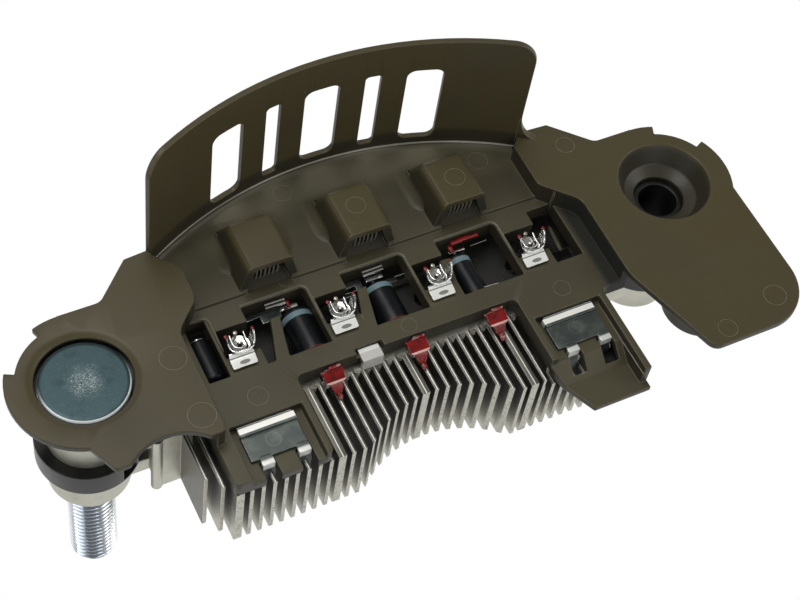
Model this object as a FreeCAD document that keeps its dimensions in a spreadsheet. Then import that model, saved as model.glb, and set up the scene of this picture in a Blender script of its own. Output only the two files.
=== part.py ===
import FreeCAD, Part
import os
import re

import Sketcher

# Alternator rectifier: a brown moulded terminal board over two aluminium heat
# sinks, clamped by a threaded stud at the left and bored for a bolt at the right.
# The origin is on the stud's axis at the top plane of the two mounting wings.
# +X runs to the bolt hole, +Y to the curved rear wall, +Z up from the board.

SIZES = {
    # Mounting points, and the span that the places along the board are given for
    "hole_span": 101.7,
    "nominal_span": 101.7,
    # Board levels: wings at zero, deck and floor lower down
    "skin": 1.2,
    "deck_skin": 3.0,
    "deck_depth": 4.0,
    "floor_depth": 3.4,
    # Wings
    "lobe_radius": 11.8,
    "notch_radius": 10.2,
    "notch_angle": 43.0,
    "wing_rear": 11.85,
    "shoulder": 6.9,
    "shoulder_rise": 6.1,
    "shoulder_round": 2.0,
    "wing_swell": 4.6,
    "right_swell": 5.3,
    "swell_round": 3.0,
    "wall_foot": 3.8,
    "toe_front": 16.1,
    "toe_side": 1.1,
    "toe_join": 3.3,
    "bay_radius": 8.7,
    "bay_x": 7.3,
    "bay_front": 22.2,
    "web_thick": 1.6,
    "left_edge": 16.1,
    "right_edge": 86.5,
    "waist_front": 14.3,
    "waist_round": 8.0,
    "right_wing_front": 31.6,
    "right_wing_reach": 10.5,
    "right_wing_taper": 5.7,
    "right_wing_round": 8.5,
    "lobe_drop": 4.2,
    # Cup of the bolt hole and the socket under the right wing
    "recess_rim": 7.9,
    "recess_seat": 6.2,
    "recess_depth": 5.0,
    "seat_rise": 1.6,
    "cup_skin": 1.5,
    "socket_radius": 6.2,
    "socket_wall": 1.4,
    "socket_set": 4.2,
    "socket_front": 20.5,
    "socket_depth": 6.5,
    # Deck and legs
    "deck_front": 9.3,
    "deck_rear": 7.2,
    "trench_front": 12.7,
    "leg_depth": 23.4,
    "left_leg_side": 30.4,
    "right_leg_side": 68.7,
    "right_leg_end": 83.0,
    "right_leg_bend": 22.0,
    "edge_round": 1.0,
    "ramp_run": 3.1,
    "apron_depth": 8.0,
    "apron_skin": 1.0,
    "apron_front": 30.4,
    "apron_rib": 1.3,
    "rib_front": 29.0,
    "chamfer_wide": 4.0,
    "chamfer_long": 8.2,
    # Rear wall
    "wall_radius": 63.3,
    "wall_thick": 1.0,
    "wall_top": 22.3,
    "wall_half": 32.8,
    "wall_end_rear": 17.35,
    "axis_x": 50.0,
    "wall_corner": 4.0,
    "slot_low": -0.9,
    "slot_high": 15.8,
    "slot_pitch": 7.85,
    "slot_wide": 6.1,
    "slot_narrow": 2.7,
    "slot_lean": 0.2,
    # Hoods over the wires behind the deck
    "hood_foot": 10.3,
    "hood_top": 7.2,
    "hood_height": 2.0,
    "hood_rear": 16.8,
    "hood_slope": 3.2,
    "hood_skin": 1.3,
    "hood_centre": 33.3,
    # Windows for the small diodes and openings for the terminals
    "bay_pitch": 17.1,
    "window_rear": 5.3,
    "window_front": 5.6,
    "window_wide": 10.8,
    "first_window": 27.4,
    "first_bay": 3.4,
    "last_window": 4.8,
    "rib_drop": 1.8,
    "first_terminal": 24.3,
    "terminal_wide": 4.4,
    "terminal_front": 4.6,
    "terminal_flange": 2.4,
    "terminal_gap": 0.3,
    # Seats of the contact plates
    "seat_drop": 1.5,
    "seat_rim": 1.2,
    "seat_rear": 13.9,
    "prong_notch": 2.5,
    "notch_rear": 20.2,
    "notch_front": 24.2,
    "first_notch": 3.4,
    "notch_pitch": 5.9,
    # Stud, sleeves and bosses
    "head_radius": 7.0,
    "head_top": 0.9,
    "head_thick": 3.0,
    "head_gap": 0.45,
    "rim_wide": 1.7,
    "shank_radius": 3.7,
    "thread_gap": 0.6,
    "stud_radius": 3.95,
    "stud_end": 53.8,
    "stud_chamfer": 1.1,
    "boss_radius": 6.5,
    "boss_foot": 15.8,
    "flange_radius": 8.35,
    "flange_thick": 4.9,
    "key_side": 3.0,
    "key_low": 0.5,
    "foot_radius": 6.7,
    "foot_end": 28.0,
    "sleeve_radius": 5.2,
    "sleeve_gap": 0.1,
    "bush_hole": 3.3,
    "bush_wall": 0.85,
    # Positive heat sink
    "sink_top": 7.3,
    "sink_low": 21.5,
    "sink_plate_top": 11.5,
    "sink_plate": 4.0,
    "sink_back": 6.4,
    "sink_end": 4.2,
    "plate_rear": 18.5,
    "arm_wide": 11.0,
    "web_wide": 3.2,
    "web_tall": 4.0,
    "fin_front": 23.3,
    "fin_root": 10.3,
    "fin_count": 37.0,
    "fin_first": 11.7,
    "fin_pitch": 1.86,
    "fin_thick": 0.75,
    "fin_thick_wide": 1.4,
    "fin_step": 2.2,
    "valley_rear": 18.1,
    "bead_radius": 0.9,
    "lead_hole": 1.9,
    "groove_deep": 1.2,
    # Negative heat sink
    "plate_top": 20.7,
    "plate_thick": 3.4,
    "plate_inset": 9.5,
    "plate_front": 5.5,
    # Small diodes, their strip and the lacquered tabs
    "small_first": 35.2,
    "small_pitch": 15.0,
    "small_rear": 2.4,
    "small_axis": 7.7,
    "small_radius": 2.7,
    "small_length": 7.8,
    "lead_radius": 0.4,
    "lead_end": 11.2,
    "bus_rear": 3.6,
    "bus_top": 8.9,
    "bus_tall": 1.8,
    "ear_wide": 3.0,
    "tab_wide": 3.8,
    "tab_tip": 0.8,
    "tab_long": 4.7,
    "tab_fold": 1.2,
    "tab_thick": 1.0,
    "tab_tall": 2.8,
    # Pressed diodes
    "pellet_radius": 4.4,
    "pellet_height": 3.2,
    "pellet_sides": 20.0,
    "lead_sides": 6.0,
    "pellet_row": 13.0,
    "lead_row": 0.4,
    # Stampings
    "sheet": 0.8,
    "clamp_tall": 3.4,
    "clamp_mouth": 1.8,
    "strip_wide": 2.8,
    "strip_top": 7.2,
    "strip_end": 15.5,
    "fork_wide": 1.6,
    "contact_sheet": 0.6,
    "contact_wide": 9.2,
    "contact_long": 5.6,
    "contact_set": 2.3,
    "hem_wide": 1.5,
    "prong_wide": 2.0,
    "prong_low": 7.1,
    "bus_tab_wide": 3.6,
    "bus_tab_notch": 1.1,
}

# Places along the board, which keep their share of the span when it changes
ALONG = {
    "axis_x", "wall_half", "left_edge", "right_edge", "left_leg_side", "right_leg_side", "right_leg_end",
    "hood_centre", "bay_pitch", "first_window", "first_terminal", "small_first", "small_pitch",
    "first_notch", "notch_pitch", "contact_wide", "contact_set", "fin_first", "fin_pitch",
}

BIG = 60.0
LAP = 0.5
BOARD_LOW = "-deck_depth - deck_skin"
WALL_COSINE = "sqrt(1 - (wall_half / wall_radius) ^ 2)"
AXIS_BACK = f"(wall_radius * {WALL_COSINE} - wall_end_rear)"

doc = FreeCAD.newDocument("AlternatorRectifier")
sheet = doc.addObject("Spreadsheet::Sheet", "Sizes")
for row, (alias, number) in enumerate(SIZES.items(), start=1):
    sheet.set(f"A{row}", alias)
    sheet.set(f"B{row}", str(number))
    sheet.setAlias(f"B{row}", alias)
doc.recompute()

nodes = []


def cell(text):
    """Write the sheet's name before each alias in an expression."""
    return re.sub(r"[a-z][a-z_]*", lambda word: reference(word.group()), str(text))


def reference(name):
    """Return the sheet's reference for an alias, or a function's name as it is."""
    if name in ALONG:
        return f"(Sizes.{name} * Sizes.hole_span / Sizes.nominal_span)"
    return f"Sizes.{name}" if name in SIZES else name


def value(text):
    """Return an expression's present value as a plain number."""
    result = sheet.evalExpression(cell(text))
    return float(getattr(result, "Value", result))


def bind(item, **sizes):
    """Bind properties to expressions; the names x, y and z mean its place."""
    names = {"x": "Placement.Base.x", "y": "Placement.Base.y", "z": "Placement.Base.z"}
    for name, text in sizes.items():
        item.setExpression(names.get(name, name), cell(text))
    return item


def keep(item, label):
    """Mark an object as a finished sub-part with its own label."""
    item.Label = label
    nodes.append(item)
    return item


def box(name, size, place, turn="0"):
    """Add a box from its three sizes and low corner, turned about the vertical."""
    item = doc.addObject("Part::Box", name)
    item.Placement.Rotation = FreeCAD.Rotation(FreeCAD.Vector(0, 0, 1), value(turn))
    bind(item, Length=size[0], Width=size[1], Height=size[2])
    return bind(item, x=place[0], y=place[1], z=place[2])


def cylinder(name, radius, height, place, angle="360", turn="0"):
    """Add an upright cylinder or a sector of one that starts at the angle turn."""
    item = doc.addObject("Part::Cylinder", name)
    item.Placement.Rotation = FreeCAD.Rotation(FreeCAD.Vector(0, 0, 1), value(turn))
    bind(item, Radius=radius, Height=height, Angle=angle)
    return bind(item, x=place[0], y=place[1], z=place[2])


def prism(name, sides, radius, height, place):
    """Add an upright bar with several flat sides."""
    item = doc.addObject("Part::Prism", name)
    bind(item, Polygon=sides, Circumradius=radius, Height=height)
    return bind(item, x=place[0], y=place[1], z=place[2])


def rod(name, radius, length, place):
    """Add a cylinder that points to the rear."""
    item = doc.addObject("Part::Cylinder", name)
    item.Placement.Rotation = FreeCAD.Rotation(FreeCAD.Vector(0, 0, 1), FreeCAD.Vector(0, 1, 0))
    return bind(item, Radius=radius, Height=length, x=place[0], y=place[1], z=place[2])


def cone(name, radius_low, radius_high, height, place):
    """Add an upright cone frustum."""
    item = doc.addObject("Part::Cone", name)
    bind(item, Radius1=radius_low, Radius2=radius_high, Height=height)
    return bind(item, x=place[0], y=place[1], z=place[2])


def drill(name, radius, x, y):
    """Add a long upright cylinder that cuts right through the part."""
    return cylinder(name, radius, f"2 * {BIG}", (x, y, f"-{BIG}"))


def ring(name, outer, inner, height, place):
    """Add an upright tube."""
    bore = drill(name + "Bore", inner, place[0], place[1])
    return cut(name, cylinder(name + "Outer", outer, height, place), [bore])


def fuse(name, items):
    """Join several solids."""
    item = doc.addObject("Part::MultiFuse", name)
    item.Shapes = items
    return item


def common(name, items):
    """Keep what several solids share."""
    item = doc.addObject("Part::MultiCommon", name)
    item.Shapes = items
    return item


def cut(name, base, tools):
    """Take tools away from a solid."""
    item = doc.addObject("Part::Cut", name)
    item.Base = base
    item.Tool = tools[0] if len(tools) == 1 else fuse(name + "Tools", tools)
    return item


def flat_sketch(body, name, role):
    """Put a sketch on one of a body's own origin planes."""
    sketch = body.newObject("Sketcher::SketchObject", name)
    plane = next(item for item in body.Origin.OriginFeatures if item.Role == role)
    sketch.AttachmentSupport = (plane, [""])
    sketch.MapMode = "FlatFace"
    return sketch


def draw(sketch, corners):
    """Draw a closed outline in a sketch with every corner bound to the sheet."""
    places = [FreeCAD.Vector(value(corner[0]), value(corner[1]), 0) for corner in corners]
    count = len(corners)
    for index in range(count):
        sketch.addGeometry(Part.LineSegment(places[index], places[(index + 1) % count]), False)
    for index in range(count):
        sketch.addConstraint(Sketcher.Constraint("Coincident", index, 2, (index + 1) % count, 1))
    for index, corner in enumerate(corners):
        for kind, text in (("DistanceX", corner[0]), ("DistanceY", corner[1])):
            number = sketch.addConstraint(Sketcher.Constraint(kind, -1, 1, index, 1, value(text)))
            sketch.setExpression(f"Constraints[{number}]", cell(text))


def outline(name, corners, low, height):
    """Pad a closed outline; a corner is x, y and, where it is round, its radius."""
    body = doc.addObject("PartDesign::Body", name)
    sketch = flat_sketch(body, name + "Sketch", "XY_Plane")
    draw(sketch, corners)
    pad = body.newObject("PartDesign::Pad", name + "Pad")
    pad.Profile = sketch
    bind(pad, Length=height)
    bind(body, z=low)
    doc.recompute()
    round_corners(body, name, pad, corners)
    return body


def round_corners(body, name, pad, corners):
    """Fillet the upright edges of a pad at the corners that carry a radius."""
    base = pad
    for radius in sorted({corner[2] for corner in corners if len(corner) > 2}):
        spots = [(value(corner[0]), value(corner[1])) for corner in corners if corner[2:] == (radius,)]
        edges = []
        for number, edge in enumerate(base.Shape.Edges, start=1):
            ends = [vertex.Point for vertex in edge.Vertexes]
            upright = len(ends) == 2 and abs(ends[0].x - ends[1].x) + abs(ends[0].y - ends[1].y) < 1e-6
            if upright and any(abs(ends[0].x - x) + abs(ends[0].y - y) < 1e-4 for x, y in spots):
                edges.append(f"Edge{number}")
        fillet = body.newObject("PartDesign::Fillet", name + "Round")
        fillet.Base = (base, edges)
        bind(fillet, Radius=radius)
        doc.recompute()
        base = fillet


def wall_end(side, radius):
    """Return the place where one end of the wall's arc lies."""
    x = f"axis_x + {side} * ({radius}) * wall_half / wall_radius"
    return x, f"({radius}) * {WALL_COSINE} - {AXIS_BACK}"


def left_wing():
    """Make the wing round the stud with the web that steps down to the deck."""
    outer = wall_end(-1, "wall_radius + wall_thick")
    inner = wall_end(-1, "wall_radius")
    swell = "left_edge + wing_swell"
    plate = outline("LeftWing", [
        ("0", "wing_rear"),
        ("shoulder", "wing_rear", "shoulder_round"),
        ("shoulder + shoulder_rise", "wing_rear + shoulder_rise"),
        outer,
        inner,
        (swell, f"{inner[1]} - wall_foot", "swell_round"),
        (swell, "deck_rear", "swell_round"),
        ("left_edge", "deck_rear - wing_swell", "swell_round"),
        ("left_edge", "-toe_front", "edge_round"),
        ("-toe_side", "-toe_front", "edge_round"),
        ("-toe_join", "-sqrt(lobe_radius ^ 2 - toe_join ^ 2)"),
    ], BOARD_LOW, "deck_depth + deck_skin")
    lobe = cylinder("LeftLobe", "lobe_radius", "skin", ("0", "0", "-skin"))
    hollow = "left_edge - web_thick"
    rear = "deck_rear + web_thick"
    tall = "deck_depth + deck_skin - skin"
    hollows = [
        box("LeftHollow", (BIG, BIG, tall), (f"{hollow} - {BIG}", f"-{BIG} / 2", BOARD_LOW)),
        box("LeftHollowRear", ("wing_swell", "wing_swell", tall), (hollow, rear, BOARD_LOW)),
        drill("LeftBay", "bay_radius", "bay_x", "-bay_front"),
    ]
    return cut("LeftWingHollowed", fuse("LeftWingWhole", [plate, lobe]), hollows)


def right_wing():
    """Make the long wing round the bolt hole, its cup and the socket under it."""
    outer = wall_end(1, "wall_radius + wall_thick")
    inner = wall_end(1, "wall_radius")
    swell = "right_edge - right_swell"
    plate = outline("RightWing", [
        ("hole_span", "wing_rear"),
        ("hole_span - shoulder", "wing_rear", "shoulder_round"),
        ("hole_span - shoulder - shoulder_rise", "wing_rear + shoulder_rise"),
        outer,
        inner,
        (swell, f"{inner[1]} - web_thick", "edge_round"),
        (swell, "deck_rear", "shoulder_round"),
        ("right_edge", "deck_rear - right_swell", "swell_round"),
        ("right_edge", "-waist_front", "waist_round"),
        ("right_edge + right_wing_taper", "-right_wing_front", "shoulder_round"),
        ("hole_span + right_wing_reach", "-right_wing_front", "right_wing_round"),
        ("hole_span + right_wing_reach", "-lobe_drop"),
    ], BOARD_LOW, "deck_depth + deck_skin")
    lobe = cylinder("RightLobe", "lobe_radius", "skin", ("hole_span", "0", "-skin"))
    hollow = "right_edge + web_thick"
    rear = "deck_rear + web_thick"
    size = (BIG, BIG, "deck_depth + deck_skin - skin")
    hollows = [
        box("RightHollow", size, (hollow, f"-{BIG} / 2", BOARD_LOW)),
        box("RightHollowRear", size, (f"{hollow} - right_swell + web_thick", rear, BOARD_LOW)),
        box("RightHollowFront", size, ("right_edge - web_thick", f"-{BIG} - trench_front", BOARD_LOW)),
    ]
    hollowed = cut("RightWingHollowed", fuse("RightWingWhole", [plate, lobe]), hollows)
    cup_low = "-recess_depth - cup_skin"
    cup_tall = "recess_depth + cup_skin - skin / 2"
    cup = cylinder("RecessCup", "recess_rim + cup_skin", cup_tall, ("hole_span", "0", cup_low))
    x = "hole_span - socket_set"
    inner = "socket_radius - socket_wall"
    tall = "socket_depth - skin / 2"
    socket = ring("Socket", "socket_radius", inner, tall, (x, "-socket_front", "-socket_depth"))
    return fuse("RightWingDone", [hollowed, cup, socket])


def deck():
    """Make the sunken middle deck with its two legs and the floor up to the wall."""
    left = "left_edge - web_thick"
    right = "right_edge + web_thick"
    plate = outline("Deck", [
        (left, f"deck_rear + {LAP}"),
        (left, "-leg_depth", "edge_round"),
        ("left_leg_side", "-leg_depth", "edge_round"),
        ("left_leg_side", "-deck_front", "edge_round"),
        ("right_leg_side", "-deck_front", "edge_round"),
        ("right_leg_side", "-right_leg_bend"),
        ("right_leg_end", "-right_leg_bend"),
        ("right_leg_end", "-trench_front", "edge_round"),
        (right, "-trench_front"),
        (right, f"deck_rear + {LAP}"),
    ], BOARD_LOW, "deck_skin")
    disc_radius = "wall_radius + wall_thick"
    disc = cylinder("FloorDisc", disc_radius, "skin", ("axis_x", f"-{AXIS_BACK}", "-floor_depth - skin"))
    start = "left_edge + wing_swell / 2"
    wide = f"right_edge - right_swell / 2 - ({start})"
    field = box("FloorField", (wide, BIG, BIG), (start, "deck_rear", f"-{BIG} / 2"))
    return fuse("DeckAndFloor", [plate, common("Floor", [disc, field]), leg_apron()])


def leg_apron():
    """Make the right leg's ramp, low apron and side rib."""
    body = doc.addObject("PartDesign::Body", "Apron")
    sketch = flat_sketch(body, "ApronSketch", "YZ_Plane")
    seat = "-deck_depth - seat_drop"
    draw(sketch, [
        (f"{LAP} - right_leg_bend", seat),
        ("-right_leg_bend", seat),
        ("-right_leg_bend - ramp_run", "-apron_depth"),
        ("-apron_front", "-apron_depth"),
        ("-apron_front", "-apron_depth - apron_skin"),
        (f"{LAP} - right_leg_bend - ramp_run", "-apron_depth - apron_skin"),
        (f"{LAP} - right_leg_bend", BOARD_LOW),
    ])
    pad = body.newObject("PartDesign::Pad", "ApronPad")
    pad.Profile = sketch
    bind(pad, Length="right_leg_end - right_leg_side")
    bind(body, x="right_leg_side")
    rib_low = "-apron_depth - apron_skin / 2"
    rib_size = ("apron_rib", "rib_front - trench_front - apron_rib", f"-deck_depth - ({rib_low})")
    rib = box("ApronRib", rib_size, ("right_leg_end - apron_rib", "-rib_front", rib_low))
    corner = doc.addObject("Part::Wedge", "ApronCorner")
    bind(corner, Xmin="0", Xmax="chamfer_wide", X2min="0", X2max="0", Ymin="0", Ymax="chamfer_long")
    bind(corner, Zmin="0", Zmax=BIG, Z2min="0", Z2max=BIG)
    bind(corner, x="right_leg_side", y="-apron_front", z=f"-{BIG} / 2 - apron_depth")
    return cut("ApronDone", fuse("ApronWhole", [body, rib]), [corner])


def wall():
    """Make the curved rear wall with rounded top corners and its five slots."""
    half_angle = "asin(wall_half / wall_radius)"
    turn = 90 - value(half_angle)
    height = "wall_top + floor_depth + skin"
    place = ("axis_x", f"-{AXIS_BACK}", "-floor_depth - skin")
    outer = cylinder("WallOuter", "wall_radius + wall_thick", height, place, f"2 * {half_angle}", turn)
    shell = cut("WallShell", outer, [drill("WallInner", "wall_radius", place[0], place[1])])
    doc.recompute()
    rounded = doc.addObject("Part::Fillet", "WallRounded")
    rounded.Base = shell
    top = value("wall_top")
    radius = value("wall_corner")
    ends = []
    for number, edge in enumerate(shell.Shape.Edges, start=1):
        short = edge.Length < 1.5 * value("wall_thick")
        if short and all(abs(vertex.Point.z - top) < 1e-6 for vertex in edge.Vertexes):
            ends.append((number, radius, radius))
    rounded.Edges = ends
    return cut("WallSlotted", rounded, [slot(number) for number in range(5)])


def slot(number):
    """Make the cutter of one slot; wide and narrow slots alternate."""
    width = "slot_narrow" if number % 2 else "slot_wide"
    turn = f"((2 - {number}) * slot_pitch + slot_lean)"
    start = "(wall_radius - wall_thick)"
    reach = 4 * value("wall_thick")
    x = f"axis_x - {width} / 2 * cos{turn} - {start} * sin{turn}"
    y = f"-{AXIS_BACK} - {width} / 2 * sin{turn} + {start} * cos{turn}"
    cutter = box(f"Slot{number}", (width, reach, "slot_high - slot_low"), (x, y, "slot_low"), turn)
    doc.recompute()
    rounded = doc.addObject("Part::Fillet", f"Slot{number}Rounded")
    rounded.Base = cutter
    radius = value(width) / 4
    edges = enumerate(cutter.Shape.Edges, start=1)
    rounded.Edges = [(index, radius, radius) for index, edge in edges if abs(edge.Length - reach) < 1e-6]
    return rounded


def hood(number, skin):
    """Make a wedge on the deck: upright in front, sloped at its sides and rear."""
    item = doc.addObject("Part::Wedge", f"Hood{number}")
    item.Placement.Rotation = FreeCAD.Rotation(FreeCAD.Vector(1, 0, 0), 90)
    front = f"(deck_rear + {LAP} - {skin})"
    bind(item, Xmin=f"{skin} - hood_foot / 2", Xmax=f"hood_foot / 2 - {skin}")
    bind(item, X2min=f"{skin} - hood_top / 2", X2max=f"hood_top / 2 - {skin}")
    bind(item, Ymin="0", Ymax=f"hood_height + deck_depth - {skin}", Zmax="0", Z2max="0")
    bind(item, Zmin=f"{front} + {skin} - hood_rear - hood_slope", Z2min=f"{front} + {skin} - hood_rear")
    return bind(item, x=f"hood_centre + {number} * bay_pitch", y=front, z="-deck_depth")


def terminal_x(number):
    """Return the place of one terminal along the board."""
    return f"(first_terminal + {number} * bay_pitch)"


def small_x(number):
    """Return the place of one small diode along the board."""
    return f"(small_first + {number} * small_pitch)"


def windows():
    """Make the cutters of the windows and of the bays for the terminals."""
    low = f"{BOARD_LOW} - {LAP}"
    tall = "deck_skin + deck_depth"
    depth = "window_rear + window_front"
    last = ("first_window + 3 * bay_pitch", "-window_front", low)
    cutters = [
        box("FirstBay", ("first_bay", depth, tall), ("left_edge + web_thick", "-window_front", low)),
        box("LastWindow", ("last_window", depth, tall), last),
    ]
    for number in range(3):
        place = (f"first_window + {number} * bay_pitch", "-window_front", low)
        cutters.append(box(f"Window{number}", ("window_wide", depth, tall), place))
    bay_front = "terminal_flange - terminal_front - terminal_gap"
    for number in range(4):
        place = (f"{terminal_x(number)} - terminal_wide / 2 - terminal_gap", bay_front, low)
        size = ("terminal_wide + 2 * terminal_gap + web_thick", f"window_rear / 2 - ({bay_front})", tall)
        cutters.append(box(f"TerminalBay{number}", size, place))
    return cutters


def window_rib(number):
    """Make the moulded tapered rib that stands between a terminal and its diode."""
    clear = f"{small_x(number)} - small_radius"
    return outline(f"Rib{number}", [
        (f"{clear} - web_thick", "window_rear / 3"),
        (f"{clear} - 2.5 * web_thick", f"-window_front - {LAP}"),
        (f"{clear} - web_thick", f"-window_front - {LAP}"),
        (clear, "window_rear / 3"),
    ], "-deck_depth - rib_drop", "rib_drop")


def notch_left(number):
    """Return the left side of a notch that a contact plate's prong goes through."""
    leg = "left_edge" if number < 2 else "right_leg_side"
    return f"({leg} + first_notch + {number % 2} * notch_pitch)"


def leg_recesses():
    """Make the cutters of the sunk seats and notches of both contact plates."""
    low = "-deck_depth - seat_drop"
    cutters = []
    for left, right in (("left_edge", "left_leg_side"), ("right_leg_side", "right_leg_end")):
        size = (f"{right} - {left} - 2 * seat_rim", BIG, "deck_depth")
        cutters.append(box("Seat", size, (f"{left} + seat_rim", f"-seat_rear - {BIG}", low)))
    for number in range(4):
        size = ("prong_notch", "notch_front - notch_rear", BIG)
        cutters.append(box(f"Notch{number}", size, (notch_left(number), "-notch_front", f"-{BIG} / 2")))
    return cutters


def lobe_notch(name, x, turn):
    """Make the cutter of the shallow arc notch in the rim of a wing."""
    place = (x, "0", "-2 * skin")
    sector = cylinder(name + "Sector", "2 * lobe_radius", "3 * skin", place, "notch_angle", turn)
    return cut(name, sector, [drill(name + "Core", "notch_radius", x, "0")])


def terminal_board():
    """Join the moulding and open its holes."""
    hoods = [hood(number, "0") for number in range(3)]
    hollows = [hood(number, "hood_skin") for number in range(3)]
    whole = fuse("BoardWhole", [left_wing(), right_wing(), deck(), wall()] + hoods)
    wall_low = "seat_rise - recess_depth"
    rim = "head_radius + 2 * rim_wide"
    tab_x = f"{terminal_x(1)} - bus_tab_wide / 2 + bus_tab_notch"
    tab_place = (tab_x, f"bus_tab_notch - deck_front - {BIG}", "-deck_depth - seat_drop")
    cutters = hollows + windows() + leg_recesses() + [
        drill("HeadHole", "head_radius + head_gap", "0", "0"),
        cone("HeadRim", "head_radius", rim, "2 * head_top", ("0", "0", "-head_top")),
        cone("RecessWall", "recess_seat", "recess_rim", f"-({wall_low})", ("hole_span", "0", wall_low)),
        cone("RecessSeat", "bush_hole", "recess_seat", "seat_rise", ("hole_span", "0", "-recess_depth")),
        drill("BoltOpening", "bush_hole + bush_wall + sleeve_gap", "hole_span", "0"),
        lobe_notch("LeftNotch", "0", "111"),
        lobe_notch("RightNotch", "hole_span", "26"),
        box("TabNotch", ("bus_tab_wide + bus_tab_notch", BIG, BIG), tab_place),
    ]
    opened = cut("BoardOpened", whole, cutters)
    return keep(fuse("Board", [opened] + [window_rib(number) for number in range(3)]), "terminal_board")


def fin_row():
    """Make the fins; every ninth one is thicker and the first two are shorter."""
    fins = []
    for number in range(int(value("fin_count"))):
        thick = "fin_thick_wide" if number % 9 == 2 else "fin_thick"
        front = f"fin_front - {max(0, 2 - number)} * fin_step"
        size = (thick, f"{front} - fin_root + {LAP}", "sink_low - sink_top")
        place = (f"fin_first + {number} * fin_pitch - {thick} / 2", f"-({front})", "-sink_low")
        fins.append(box(f"Fin{number}", size, place))
    return fins


def sink_block():
    """Make the front wall with its plate, arms and the web to the stud's boss."""
    width = "((fin_count - 1) * fin_pitch + fin_thick_wide)"
    left = "(fin_first - sink_end)"
    level = "-sink_plate_top - sink_plate"
    end = f"(fin_first + {width})"
    tall = "sink_low - sink_top"
    wall_size = (f"{width} + sink_end", "fin_root - sink_back", tall)
    plate_size = (width, "sink_back + plate_rear", "sink_plate")
    web_place = ("0", f"{LAP} - fin_root", "-sink_top - web_tall / 2")
    return [
        box("SinkWall", wall_size, (left, "-fin_root", "-sink_low")),
        box("SinkPlate", plate_size, ("fin_first", "-sink_back", level)),
        box("LeftArm", ("fin_first", "arm_wide", "sink_plate"), ("0", "-sink_back", level)),
        box("RightArm", (f"hole_span - {end}", "arm_wide", "sink_plate"), (end, "-sink_back", level)),
        box("LeftWeb", (left, "web_wide", "web_tall"), web_place),
        cylinder("EndBead", "bead_radius", tall, (left, "bead_radius / 2 - fin_root", "-sink_low")),
    ]


def positive_heat_sink():
    """Make the finned front block, its plate for the diodes and the two bosses."""
    bosses = []
    for x, top in (("0", "head_top + head_thick"), ("hole_span", "recess_depth + cup_skin")):
        bosses.append(cylinder("SinkBoss", "boss_radius", f"boss_foot - ({top})", (x, "0", "-boss_foot")))
    whole = fuse("SinkWhole", sink_block() + fin_row() + bosses)
    apron_low = "-apron_depth - apron_skin - terminal_gap"
    apron_place = ("right_leg_side - edge_round", f"edge_round - right_leg_bend - {BIG}", apron_low)
    cutters = [
        drill("StudBore", "stud_radius", "0", "0"),
        drill("BushBore", "bush_hole + bush_wall", "hole_span", "0"),
        drill("Valley", f"{AXIS_BACK} - valley_rear", "axis_x", f"-{AXIS_BACK}"),
        box("ApronClearance", (BIG, BIG, BIG), apron_place),
    ]
    for number in range(4):
        cutters.append(drill(f"LeadHole{number}", "lead_hole", terminal_x(number), "lead_row"))
    for number in range(3):
        x = f"{small_x(number)} - groove_deep / 2"
        place = (x, "-lead_end - groove_deep", "-sink_top - groove_deep")
        cutters.append(box(f"LeadGroove{number}", ("groove_deep", BIG, BIG), place))
    return keep(cut("Sink", whole, cutters), "positive_heat_sink")


def negative_heat_sink():
    """Make the lower plate with a foot round the stud and one round the bolt."""
    level = "-plate_top - plate_thick"
    disc = cylinder("PlateDisc", "wall_radius", "plate_thick", ("axis_x", f"-{AXIS_BACK}", level))
    field_size = ("hole_span - 2 * plate_inset", BIG, BIG)
    field = box("PlateField", field_size, ("plate_inset", "-plate_front", f"-{BIG} / 2"))
    solids = [common("PlateBody", [disc, field])]
    bores = []
    arm_size = (f"plate_inset + {LAP}", "2 * plate_front", "plate_thick")
    for name, x, start in (("Left", "0", "0"), ("Right", "hole_span", f"hole_span - plate_inset - {LAP}")):
        solids.append(cylinder(name + "Foot", "foot_radius", "foot_end - plate_top", (x, "0", "-foot_end")))
        solids.append(box(name + "FootArm", arm_size, (start, "-plate_front", level)))
        bores.append(drill(name + "FootBore", "sleeve_radius + sleeve_gap / 2", x, "0"))
    return keep(cut("Plate", fuse("PlateWhole", solids), bores), "negative_heat_sink")


def b_plus_stud():
    """Make the stud: a large round head, a thinner shank and a long threaded end."""
    body = doc.addObject("PartDesign::Body", "Stud")
    sketch = flat_sketch(body, "StudSketch", "XZ_Plane")
    seat = "-head_top - head_thick"
    draw(sketch, [
        ("0", "-head_top"),
        ("head_radius - head_gap", "-head_top"),
        ("head_radius", "-head_top - head_gap"),
        ("head_radius", seat),
        ("shank_radius", seat),
        ("shank_radius", "-foot_end - thread_gap"),
        ("stud_radius", "-foot_end - thread_gap"),
        ("stud_radius", "stud_chamfer - stud_end"),
        ("stud_radius - stud_chamfer", "-stud_end"),
        ("0", "-stud_end"),
    ])
    turned = body.newObject("PartDesign::Revolution", "StudTurned")
    turned.Profile = sketch
    turned.ReferenceAxis = (sketch, ["V_Axis"])
    turned.Angle = 360
    return keep(body, "b_plus_stud")


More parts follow.
